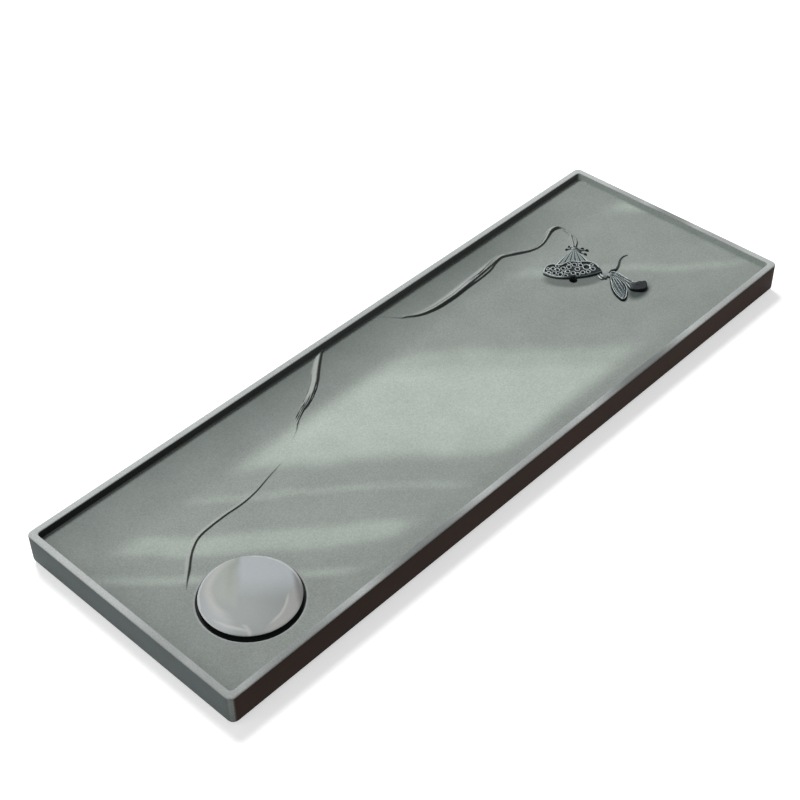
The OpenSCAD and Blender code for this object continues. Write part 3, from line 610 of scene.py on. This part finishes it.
# Drain. Under the hole beside the lotus pod a rubber gasket, a punched steel strainer and a
# moulded elbow hang on two screws; their threads bite in nylon plugs set in the stone.
gasket_rubber, tree, shader = new_finish("gasket_rubber", Roughness=0.65)
grained(tree, shader, (0.03, 0.03, 0.031, 1), 0.1, 0.2, 1200.0, 0.2)
dress(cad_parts["drain_gasket"], gasket_rubber)
strainer_steel, tree, shader = new_finish("strainer_steel", Roughness=0.35, Metallic=1.0)
grained(tree, shader, (0.6, 0.61, 0.62, 1), 0.06, 0.12, 2500.0, 0.1)
dress(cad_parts["drain_strainer"], strainer_steel)
elbow_plastic, tree, shader = new_finish("elbow_plastic", Roughness=0.42)
grained(tree, shader, (0.028, 0.028, 0.031, 1), 0.08, 0.12, 1800.0, 0.15)
dress(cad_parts["drain_elbow"], elbow_plastic)
screw_steel, tree, shader = new_finish("screw_zinc", Roughness=0.28, Metallic=1.0)
grained(tree, shader, (0.66, 0.67, 0.68, 1), 0.08, 0.08, 3000.0, 0.08)
plug_nylon, tree, shader = new_finish("plug_nylon", Roughness=0.5)
grained(tree, shader, (0.62, 0.61, 0.54, 1), 0.05, 0.06, 1500.0, 0.1)
for number in (1, 2):
    dress(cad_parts[f"drain_screw_{number}"], screw_steel)
    dress(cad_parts[f"screw_plug_{number}"], plug_nylon)

# Moon pot stand. A separate disc of the same stone, turned and polished: a low dome with a thin
# edge, an undercut all round and a boss that drops into its socket in the tray.
EDGE_Z, DOME_H, MOON_R = 29.9, 3.2, 43.5
dome_r = (MOON_R ** 2 + DOME_H ** 2) / (2 * DOME_H)
outline = [(0, 22.2), (29, 22.2), (29.7, 22.5), (30, 23.2), (30, 25), (39.3, 25), (39.7, 25.3),
           (42.6, 28.6), (43.1, 29.1), (43.42, 29.4), (43.5, 29.65), (43.4, 29.85)]
for i in range(22, -1, -1):
    radius = (MOON_R - 0.3) * i / 22
    outline.append((radius, EDGE_Z + DOME_H - dome_r + math.sqrt(dome_r ** 2 - radius ** 2)))
moon = turned("moon_disc", outline, MOON_X, MOON_Y, 144)
bpy.ops.object.shade_smooth_by_angle(angle=math.radians(40))
polished, tree, shader = new_finish("polished_stone", Roughness=0.45, Specular_IOR_Level=0.25)
coords = shader_node(tree, "TexCoord").outputs["Object"]
in_mm = shader_node(tree, "VectorMath", {0: coords, "Scale": 1000.0}, operation="SCALE").outputs["Vector"]
at_z = shader_node(tree, "SeparateXYZ", {"Vector": in_mm}).outputs["Z"]
disc_place = shader_node(tree, "VectorMath", {0: in_mm, 1: (1, 1, 0), 2: (-MOON_X, -MOON_Y, 0)},
                         operation="MULTIPLY_ADD")
veil = shader_node(tree, "TexNoise", {"Vector": coords, "Scale": 45.0, "Detail": 3.0})
veil_shift = shader_node(tree, "VectorMath", {0: veil.outputs["Color"], 1: (5, 5, 0), 2: (-2.5, -2.5, 0)},
                         operation="MULTIPLY_ADD")
disc_place = shader_node(tree, "VectorMath", {0: disc_place.outputs[0], 1: veil_shift.outputs[0]},
                         operation="ADD").outputs[0]


def disc_arc(x, y, inner, outer, soft):
    """1 between two circles about a place on the disc."""
    off = shader_node(tree, "VectorMath", {0: disc_place, 1: (x, y, 0)},
                      operation="DISTANCE").outputs["Value"]
    return all_of(fade(tree, off, inner - soft, inner + soft, smooth=True),
                  fade(tree, off, outer + soft, outer - soft, smooth=True))


def disc_side(x, y, start, full):
    """0 to 1 across the disc along the heading x, y."""
    along = shader_node(tree, "VectorMath", {0: disc_place, 1: (x, y, 0)},
                        operation="DOT_PRODUCT").outputs["Value"]
    return fade(tree, along, start, full, smooth=True)


# Painted reflections of the polish, a broad sheen and pale arcs along the edge, and a crescent of painted
# shade: tone, share and masks.
ASLANT = 0.707
moon_tone_and_sheen = (0.225, 0.245, 0.24)
for tone, share, *masks in (
        ((0.355, 0.385, 0.4), 1.0, disc_side(ASLANT, -ASLANT, -17, -7), disc_side(ASLANT, ASLANT, -12, 22)),
        ((0.3, 0.325, 0.3), 0.9, disc_side(ASLANT, -ASLANT, -7, -15), disc_side(ASLANT, ASLANT, -22, 8)),
        ((0.255, 0.28, 0.255), 0.8, disc_arc(30, -10, 43, 49, 3.5), disc_side(ASLANT, -ASLANT, -8, -14)),
        ((0.3, 0.32, 0.325), 1.0, disc_arc(4.9, 5.5, 37, 60, 2), disc_side(ASLANT, -ASLANT, -8, -20)),
        ((0.4, 0.405, 0.385), 0.75, disc_arc(4.9, 5.5, 32, 38, 3.2), disc_side(ASLANT, -ASLANT, -10, -28)),
        ((0.3, 0.296, 0.29), 0.85, disc_arc(-6, 1, 36.6, 70, 1.2), disc_side(0.35, -0.94, 26, 34)),
        ((0.14, 0.137, 0.137), 0.85, disc_arc(-6, 1, 39, 70, 2.5), disc_side(0.8, -0.6, 35, 41)),
        ((0.44, 0.445, 0.43), 0.75, disc_arc(-6, 1, 35, 36.8, 1.2), disc_side(0.35, -0.94, 27.5, 31.5)),
        ((0.45, 0.455, 0.435), 0.6, disc_arc(0, 0, 35.6, 38.6, 1.6), disc_side(-0.93, -0.37, 34, 36.4)),
        ((0.4, 0.41, 0.39), 0.6, disc_arc(-52, -20, 24.6, 27, 1.3), disc_side(-0.4, -0.92, 28, 31)),
        ((0.5, 0.515, 0.515), 0.75, disc_arc(0, 0, 42.3, 60, 0.5), disc_side(0.1, 1, -25, 0))):
    moon_tone_and_sheen = blend(tree, all_of(*masks, share), moon_tone_and_sheen, tone)
# Painted shade, nearly black, on the undercut below the edge.
moon_tone_and_sheen = blend(tree, fade(tree, at_z, 29.2, 28.6), moon_tone_and_sheen, (0.03, 0.035, 0.038))
grained(tree, shader, moon_tone_and_sheen, 0.04, 0.06, 1200.0, 0.06)
dress(moon, polished)
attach(moon, "moon")
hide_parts("moon_pot_stand")
silicone, tree, shader = new_finish("bumper_silicone", Roughness=0.45)
grained(tree, shader, (0.05, 0.05, 0.05, 1), 0.05, 0.1, 1200.0, 0.1)
for number in (1, 2, 3):
    dress(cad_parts[f"stand_bumper_{number}"], silicone)

# Lotus pod. A seed head on a ribbed neck, carved from a darker piece of the same stone, oiled and
# set on the basin floor below the end of the stalk. Its face slants towards the front lip.
POD_X, POD_Y, POD_TURN = 232.234, 21.695, math.radians(-41)
POD_LIP = [(-30.3, -1.5), (-29.6, 3), (-26, 8.2), (-20.5, 10.8), (-15.5, 9.8), (-11, 8.6),
           (-7, 10.6), (-2, 12.8), (3, 12.6), (8, 11.4), (14, 11.2), (19.5, 10.2), (24, 7.4),
           (27.4, 2.2), (29.8, -5), (26, -7.2), (20, -8.8), (13, -10.4), (5, -11.2), (-3, -11.6),
           (-11, -10.8), (-19, -8.8), (-26, -5.2)]
SEEDS = [(14.5, 1.8, 3.1), (-20, 2.8, 1.9), (-15.6, 0.4, 1.9), (-9.6, 1.9, 2), (-3.4, 3.6, 2),
         (2.9, 6.2, 2.1), (4.8, -0.2, 2.1), (20.6, -1.4, 2), (-25.2, -2.6, 1.7), (-19.8, -3.6, 1.9),
         (-14, -6, 1.9), (-8.6, -8.4, 1.8), (-5.6, -2.6, 1.9), (-0.5, -5.4, 1.9), (4, -7.4, 1.9),
         (9.4, -5.4, 1.9), (15.2, -5, 1.7), (9, 4.4, 1.9), (-10.4, -3.6, 1.6), (-25, 3, 1.5),
         (-2.2, 8.2, 1.6), (8.6, 8.6, 1.5), (20.2, 4.2, 1.5), (-15, 6.2, 1.6)]
NECK_TOP = (8.2, 38.0)
NECK_FOOT = (-14.0, 18.0, 12.0)
STAMENS = [(-7, 4.2), (-1.3, 5.2), (1.4, -3), (-0.1, -5.6), (5.2, -7.3), (-0.6, -9.3), (6.3, -12.5),
           (0, -15.5)]
COLLAR = (264.3, 45.9)
RELIEF_CELL = 0.4


def side_distance(x, y, outline):
    """Distance of each point from a closed outline, positive inside it."""
    corners = np.array(outline, float)
    nearest = np.full(x.shape, 1e9)
    inside = np.zeros(x.shape, bool)
    for (ax, ay), (bx, by) in zip(corners, np.roll(corners, -1, axis=0)):
        ex, ey = bx - ax, by - ay
        t = np.clip(((x - ax) * ex + (y - ay) * ey) / (ex * ex + ey * ey), 0, 1)
        nearest = np.minimum(nearest, np.hypot(x - ax - t * ex, y - ay - t * ey))
        crosses = (ay > y) != (by > y)
        with np.errstate(divide="ignore", invalid="ignore"):
            inside ^= crosses & (x < ax + (y - ay) * ex / (ey if ey else 1e-9))
    return np.where(inside, nearest, -nearest)


def closed_curve(points, steps=8):
    """A smooth closed outline through the points."""
    ring = list(points[-2:]) + list(points) + list(points[:2])
    at = smooth_curve(ring, steps)
    return at[2 * steps:-2 * steps - 1][: len(points) * steps]


def bump(distance, width):
    """A soft round bump, 1 in its middle."""
    return np.exp(-(distance / width) ** 2)


def step_up(distance, width):
    """0 outside an edge and 1 inside it, over the given width."""
    t = np.clip(distance / width + 0.5, 0, 1)
    return t * t * (3 - 2 * t)


def cord_height(x, y, points, width, height, taper=0.35):
    """A round thread laid along points, thinner to both ends."""
    at = smooth_curve(points, 10)
    best = np.full(x.shape, -2.0)
    count = len(at) - 1
    for i in range(count):
        (ax, ay), (bx, by) = at[i][:2], at[i + 1][:2]
        ex, ey = bx - ax, by - ay
        t = np.clip(((x - ax) * ex + (y - ay) * ey) / (ex * ex + ey * ey + 1e-12), 0, 1)
        off = np.hypot(x - ax - t * ex, y - ay - t * ey)
        share = (i + t) / count
        half = width / 2 * (taper + (1 - taper) * np.sin(np.pi * share ** 0.8))
        round_part = np.sqrt(np.clip(1 - (off / half) ** 2, 0, 1))
        lift = at[i][2] + (at[i + 1][2] - at[i][2]) * t if len(at[i]) > 2 else height
        best = np.maximum(best, np.where(off < half, lift * (0.35 + 0.65 * round_part),
                                         -4 * (off - half)))
    return best


def carved_relief(name, low, high, height):
    """A carving whose top follows height(x, y) above the basin floor, flat underneath."""
    count_x, count_y = (round((high[i] - low[i]) / RELIEF_CELL) for i in (0, 1))
    bpy.ops.object.select_all(action="DESELECT")
    bpy.ops.mesh.primitive_grid_add(
        x_subdivisions=count_x, y_subdivisions=count_y, size=MM,
        location=((low[0] + high[0]) / 2 * MM, (low[1] + high[1]) / 2 * MM, FLOOR_Z * MM))
    made = bpy.context.object
    made.name = name
    made.scale = (high[0] - low[0], high[1] - low[1], 1)
    bpy.ops.object.transform_apply(location=True, rotation=True, scale=True)
    co = np.zeros(len(made.data.vertices) * 3)
    made.data.vertices.foreach_get("co", co)
    co = co.reshape(-1, 3)
    rise = np.clip(height(co[:, 0] / MM, co[:, 1] / MM)[0], -1.0, None)
    co[:, 2] = (FLOOR_Z + rise) * MM
    made.data.vertices.foreach_set("co", co.ravel())
    bpy.ops.object.mode_set(mode="EDIT")
    bpy.ops.mesh.select_all(action="SELECT")
    bpy.ops.mesh.bisect(plane_co=(0, 0, FLOOR_Z * MM), plane_no=(0, 0, 1), use_fill=True,
                        clear_inner=True)
    bpy.ops.mesh.select_all(action="SELECT")
    bpy.ops.mesh.normals_make_consistent(inside=False)
    bpy.ops.object.mode_set(mode="OBJECT")
    return made


def store_tone_and_relief_shade(piece, height, tone, reach=0.9):
    """Stores a tone: the piece's own, with a painted highlight on high spots and painted shade in hollows.
    """
    co = np.array([v.co for v in piece.data.vertices]) / MM
    x, y = co[:, 0], co[:, 1]
    around = [np.clip(height(x + reach * math.cos(a), y + reach * math.sin(a))[0], 0, None)
              for a in np.arange(0, math.tau, math.tau / 6)]
    own, base = height(x, y)
    tone_with_relief_shade = np.clip(base + tone * np.clip(3 * base, 0, 1) * (own - np.mean(around, axis=0)), 0, 1)
    tone_and_relief_shade = piece.data.attributes.new("tone_and_relief_shade", "FLOAT", "POINT")
    tone_and_relief_shade.data.foreach_set("value", tone_with_relief_shade.astype(np.float32))


def laid_over(made, part, part_tone):
    """Height and tone of what is made so far with one more part laid over it."""
    height, tone = made
    return np.maximum(height, part), np.where(part > height, part_tone, tone)


def pod_height(x, y):
    """Height of the lotus pod's carving above the basin floor, and its tone with painted light and shade."""
    u = (x - POD_X) * math.cos(POD_TURN) + (y - POD_Y) * math.sin(POD_TURN)
    v = -(x - POD_X) * math.sin(POD_TURN) + (y - POD_Y) * math.cos(POD_TURN)
    inside = side_distance(u, v, closed_curve(POD_LIP))
    face = 3.1 + 0.125 * v
    head = face + 1.0 * bump(inside - 0.9, 0.6) - 0.8 * bump(inside - 2.2, 0.6)
    # The lip is painted pale along its upper side and at the left end of its lower side, dark along the rest
    # of its lower side, as light and shade.
    lip_tone = np.where(v > 0, 0.66 - 0.2 * np.clip((u - 2) / 10, 0, 1),
                        0.6 - 0.45 * np.clip((u + 24) / 16, 0, 1))
    head_tone = np.where(inside < 1.4, lip_tone, 0.16)
    for seed_u, seed_v, radius in SEEDS:
        radius *= 1.15
        off = np.hypot(u - seed_u, v - seed_v)
        ring = 1.2 * bump(off - radius, 0.6) - 1.4 * bump(off, radius * 0.55)
        head = np.where(inside > 1.2, head + ring, head)
        # Painted highlights on the seed rings and painted shade in the seed hollows.
        head_tone = np.where(inside > 1.3, head_tone + (0.8 if radius > 3 else 0.5) * bump(off - radius, 0.6)
                             - 0.16 * bump(off, radius * 0.5), head_tone)
    head = np.where(inside > 0, head * step_up(inside - 0.25, 0.5), -6 * np.abs(inside))
    rise = (NECK_TOP[1] - v) / (NECK_TOP[1] - NECK_FOOT[2])
    left = NECK_TOP[0] + (NECK_FOOT[0] - NECK_TOP[0]) * rise - 1.6
    right = NECK_TOP[0] + (NECK_FOOT[1] - NECK_TOP[0]) * rise + 1.6
    across = (u - left) / np.maximum(right - left, 0.1) * 2 - 1
    edge = np.minimum((u - left), (right - u)) * 0.8
    ribs = (0.5 - 0.5 * np.cos(across * math.pi * 6)) ** 5 * np.clip(rise * 1.4, 0.3, 1)
    neck = (1.7 + 1.5 * rise) * (1 - 0.25 * across ** 2) - 0.8 * ribs
    # Painted shade in the grooves between the ribs.
    neck_tone = 0.58 - 0.36 * ribs
    within = (rise > -0.06) & (rise < 1.12)
    neck = np.where(within, np.where(edge > 0, neck * step_up(edge - 0.2, 0.5), 6 * edge), -3)
    made = laid_over((head, head_tone), neck, neck_tone)
    for off_x, off_y in STAMENS:
        tip = (COLLAR[0] + off_x, COLLAR[1] + off_y)
        thread = [(COLLAR[0], COLLAR[1], 2.2),
                  (COLLAR[0] + off_x * 0.5 + off_y * 0.08, COLLAR[1] + off_y * 0.5 - off_x * 0.08, 1.8),
                  (tip[0], tip[1], 1.3)]
        made = laid_over(made, cord_height(x, y, thread, 0.8, 2), 0.4)
        length = math.hypot(off_x, off_y)
        along = ((x - tip[0]) * off_x + (y - tip[1]) * off_y) / length
        aside = ((x - tip[0]) * off_y - (y - tip[1]) * off_x) / length
        size = 0.7 if off_y > 0 else 1.1
        off = np.hypot(along / 1.9, aside / 1.05) / size
        made = laid_over(made, 2.4 * np.sqrt(np.clip(1 - off ** 2, 0, 1)) - 6 * np.clip(off - 1, 0, 1), 0.1)
    off = np.hypot(x - COLLAR[0] + 2, y - COLLAR[1] + 1)
    return laid_over(made, 2.6 * np.sqrt(np.clip(1 - (off / 2.6) ** 2, 0, 1)) - 4 * np.clip(off - 2.6, 0, 1),
                     0.55)


pod = carved_relief("lotus_carving", (203, -7), (276, 56), pod_height)
bpy.ops.object.mode_set(mode="EDIT")
bpy.ops.mesh.select_all(action="SELECT")
bpy.ops.mesh.quads_convert_to_tris(quad_method="BEAUTY", ngon_method="BEAUTY")
bpy.ops.object.mode_set(mode="OBJECT")
cut(pod, [turned("pod_drain", [(0, 20), (DRAIN_R, 20), (DRAIN_R, 36), (0, 36)], DRAIN_X, DRAIN_Y, 48)])
store_tone_and_relief_shade(pod, pod_height, 0.75)
pick(pod)
bpy.ops.object.shade_smooth_by_angle(angle=math.radians(50))
oiled, tree, shader = new_finish("oiled_stone", Roughness=0.38, Specular_IOR_Level=0.14, Coat_Weight=0.03,
                                 Coat_Roughness=0.22)
# The stored tone, own colour with painted highlight and shade, sets the colour.
tone_and_relief_shade = shader_node(tree, "Attribute", attribute_name="tone_and_relief_shade")
relief_shade_colours = ramp(tree, tone_and_relief_shade.outputs["Fac"],
                 [(0, (0.004, 0.006, 0.009)), (0.2, (0.014, 0.02, 0.024)), (0.4, (0.06, 0.078, 0.085)),
                  (0.6, (0.17, 0.2, 0.2)), (0.75, (0.33, 0.37, 0.36)), (1, (0.66, 0.72, 0.71))])
grained(tree, shader, relief_shade_colours, 0.1, 0.15, 1600.0, 0.12)
dress(pod, oiled)
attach(pod, "tray")
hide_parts("lotus_pod")

# Moth. It rests below the pod's far tip, carved like the pod: chest, head and tail, a near wing
# with fine veins, a far wing whose tip stands up, and one long feeler.
MOTH_X, MOTH_Y = 249.998, -10.66
NEAR_WING = [(2, -1), (-2.5, -3.6), (-7.5, -8), (-12.9, -13.4), (-18, -20.5), (-21.2, -28), (-22.2, -33.6),
             (-20, -36), (-15.6, -35.2), (-11, -32.4), (-6.4, -29.6), (-2.4, -26), (1.5, -20),
             (4, -11), (4.6, -3)]
FAR_WING = [(3, 0.5), (7, 0.5), (8.6, -7), (7.6, -17.5), (7.6, -26), (11.5, -31), (15.4, -34.4),
            (13.6, -38.6), (9, -41), (4.8, -40.6), (0.6, -36.6), (-2.4, -30.4), (0.5, -22.5),
            (3.2, -10)]
FEELER = [(3, 2.6, 2.6), (8.3, 3.6, 2.9), (11.6, 2.4, 2.9), (15, 1.7, 2.2), (20, 3.2, 1.9),
          (26, 6.2, 1.7), (31, 8.8, 1.5), (37.2, 9.8, 1.3), (42.8, 8.4, 0.9)]
MOTH_LEGS = [[(-8.1, 2, 1.8), (-7.4, 5.6, 2), (-5.3, 9.6, 1.5)],
             [(-4.1, 2.4, 2), (-3.8, 6, 2), (-1.8, 9.6, 1.5)]]
MOTH_NECK = [(-7.8, 2.4, 1), (-3.6, 1.6, 1.2), (0.8, 0.3, 1.2)]
NEAR_VEINS = [[(-1, -3, 3), (-9.5, -12.5, 3.3), (-16.5, -23.5, 2.8), (-19.2, -31, 2.2)],
              [(1, -4, 3), (-6, -13.5, 3.3), (-12.5, -23.5, 2.9), (-16.4, -31.6, 2.2)],
              [(2.2, -4, 3), (-2.6, -13.5, 3.3), (-8, -22.5, 2.9), (-12, -29, 2.2)],
              [(3.2, -4, 3), (0.6, -12.5, 3.4), (-3.6, -20.5, 3.2), (-7.4, -26.6, 2.4)]]
FAR_VEINS = [[(4.4, -1, 3.6), (6.4, -8.5, 4), (6.4, -19, 4.3), (8, -27, 4.6), (11.5, -33, 4.6)],
             [(4, -4, 3.5), (4.8, -12, 3.9), (4, -21, 4.1), (4.4, -28, 3.6), (6.4, -33, 3)]]


def moth_height(x, y):
    """Height of the moth's carving above the basin floor, and its tone with painted light and shade."""
    x, y = x - MOTH_X, y - MOTH_Y
    inside = side_distance(x, y, closed_curve(FAR_WING))
    lean = 3.1 + 0.14 * (x - 2) + 0.02 * np.clip(-y - 18, 0, None)
    tip = np.clip((-y - 24) / 8, 0, 1)
    wing = lean + (1 - tip) * (0.5 * bump(inside - 0.7, 0.5) - 0.7 * bump(inside - 1.9, 0.6))
    for vein in FAR_VEINS:
        thread = cord_height(x, y, vein, 1.3, 4)
        raised = np.where(thread > 0, wing + 0.8 * np.clip(thread / 4, 0, 1), -2)
        wing = np.where(inside > 0.6, np.maximum(wing, raised), wing)
    wing = np.where(inside > 0, wing * step_up(inside - 0.2, 0.4), -6 * np.abs(inside))
    # The far wing's raised tip is painted dark as shade.
    made = wing, 0.46 - 0.46 * tip
    inside = side_distance(x, y, closed_curve(NEAR_WING))
    wing = 2.5 + 0.7 * bump(inside - 1.1, 0.5) - 0.9 * bump(inside - 2.2, 0.5)
    outer = np.clip((-y - 10) / 12, 0, 1) * np.clip((x + 16) / 8, 0, 1)
    flecks = np.array([noise.noise(Vector((a / 1.15, b / 1.4, 4.2))) for a, b in zip(x, y)])
    wing = wing + np.where(inside > 1.8, outer * flecks * 0.9, 0)
    for vein in NEAR_VEINS:
        thread = cord_height(x, y, vein, 1.0, 3)
        raised = np.where(thread > 0, 2.5 + 0.8 * np.clip(thread / 3, 0, 1), -2)
        wing = np.where(inside > 0.8, np.maximum(wing, raised), wing)
    wing = np.where(inside > 0, wing * step_up(inside - 0.2, 0.4), -6 * np.abs(inside))
    # The near wing's edge is painted dark as shade, its inside paler.
    made = laid_over(made, wing, np.where(inside < 0.7, 0.06, 0.47 - 0.1 * outer))
    for bx, by, radius, lift, tone in ((2.4, -0.6, 3.2, 4.4, 0.5), (-3.6, 1.6, 2.3, 3.4, 0.3),
                                       (4.6, -5.6, 2.1, 4.3, 0.5), (4.6, -10.5, 1.6, 4.1, 0.45)):
        off = np.hypot(x - bx, y - by) / radius
        ball = lift * np.sqrt(np.clip(1 - off ** 2, 0, 1)) - 5 * np.clip(off - 1, 0, 1)
        made = laid_over(made, ball, tone)
    made = laid_over(made, cord_height(x, y, MOTH_NECK, 2, 1, taper=0.8), 0.25)
    made = laid_over(made, cord_height(x, y, FEELER, 2.3, 2, taper=0.35), 0.14)
    for leg in MOTH_LEGS:
        made = laid_over(made, cord_height(x, y, leg, 1.5, 2, taper=0.5), 0.8)
    return made


moth = carved_relief("moth_carving", (MOTH_X - 25, MOTH_Y - 43), (MOTH_X + 46, MOTH_Y + 12), moth_height)
store_tone_and_relief_shade(moth, moth_height, 0.75)
pick(moth)
bpy.ops.object.shade_smooth_by_angle(angle=math.radians(50))
dress(moth, oiled)
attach(moth, "tray")
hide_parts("moth")

# Studio. A pale floor under the tray, a white surround, one soft lamp high behind the back long
# side and a weak one off the near end.
bpy.ops.mesh.primitive_plane_add(size=12, location=(0, 0, 0))
studio_floor = bpy.context.object
studio_floor.name = "studio_floor"
floor_finish, tree, shader = new_finish("pale_floor", Roughness=0.9)
shader.inputs["Base Color"].default_value = (0.82, 0.82, 0.82, 1)


def shown_rays(tree):
    """1 for rays that show a colour without lighting by it: camera, glossy and transmission."""
    seen = shader_node(tree, "LightPath").outputs
    return calc(tree, "MAXIMUM", calc(tree, "MAXIMUM", seen["Is Camera Ray"], seen["Is Glossy Ray"]),
                seen["Is Transmission Ray"])


glow = shader_node(tree, "Emission", {"Color": (1, 1, 1, 1), "Strength": 0.55})
dark = shader_node(tree, "Emission", {"Color": (0, 0, 0, 1), "Strength": 0.0})
glow_seen = shader_node(tree, "MixShader", {0: shown_rays(tree), 1: dark.outputs[0],
                                            2: glow.outputs[0]})
lit = shader_node(tree, "AddShader", {0: shader.outputs[0], 1: glow_seen.outputs[0]})
tree.links.new(lit.outputs[0], tree.nodes["Material Output"].inputs["Surface"])
dress(studio_floor, floor_finish)

scene = bpy.context.scene
scene.view_settings.view_transform = "Standard"
world = bpy.data.worlds.new("studio")
scene.world = world
world.use_nodes = True
tree = world.node_tree
surround = tree.nodes["Background"]
surround.inputs["Color"].default_value = (1, 1, 1, 1)
surround.inputs["Strength"].default_value = 0.22
white = shader_node(tree, "Background", {"Color": (1, 1, 1, 1), "Strength": 1.0})
shown = shader_node(tree, "MixShader", {0: shown_rays(tree), 1: surround.outputs[0],
                                        2: white.outputs[0]})
tree.links.new(shown.outputs[0], tree.nodes["World Output"].inputs["Surface"])


def soft_lamp(name, place, aim, size, power):
    """A square lamp at place that points at aim."""
    lamp = bpy.data.lights.new(name, "AREA")
    lamp.shape, lamp.size, lamp.energy = "SQUARE", size, power
    holder = bpy.data.objects.new(name, lamp)
    scene.collection.objects.link(holder)
    holder.location = place
    holder.rotation_euler = (Vector(aim) - Vector(place)).to_track_quat("-Z", "Y").to_euler()


soft_lamp("back_lamp", (0.5, 1.45, 2.95), (0, 0, 0), 1.0, 95)
soft_lamp("left_lamp", (-1.6, 0.1, 0.9), (-0.1, 0, 0), 1.0, 3.4)

# Camera. It looks down on the tray from its near front corner, as the photograph does.
camera_data = bpy.data.cameras.new("camera")
camera_data.lens, camera_data.sensor_width = 71.05, 36.0
CAMERA_PLACE = (-0.816013, -0.746568, 1.011925)
camera = bpy.data.objects.new("camera", camera_data)
scene.collection.objects.link(camera)
scene.camera = camera
ahead = Vector((0.53335, 0.51813, -0.66864)).normalized()
up = Vector((0.49397, 0.45090, 0.74343)).normalized()
right = ahead.cross(up).normalized()
up = right.cross(ahead)
turn = Matrix((right, up, -ahead)).transposed()
camera.matrix_world = Matrix.Translation(CAMERA_PLACE) @ turn.to_4x4()
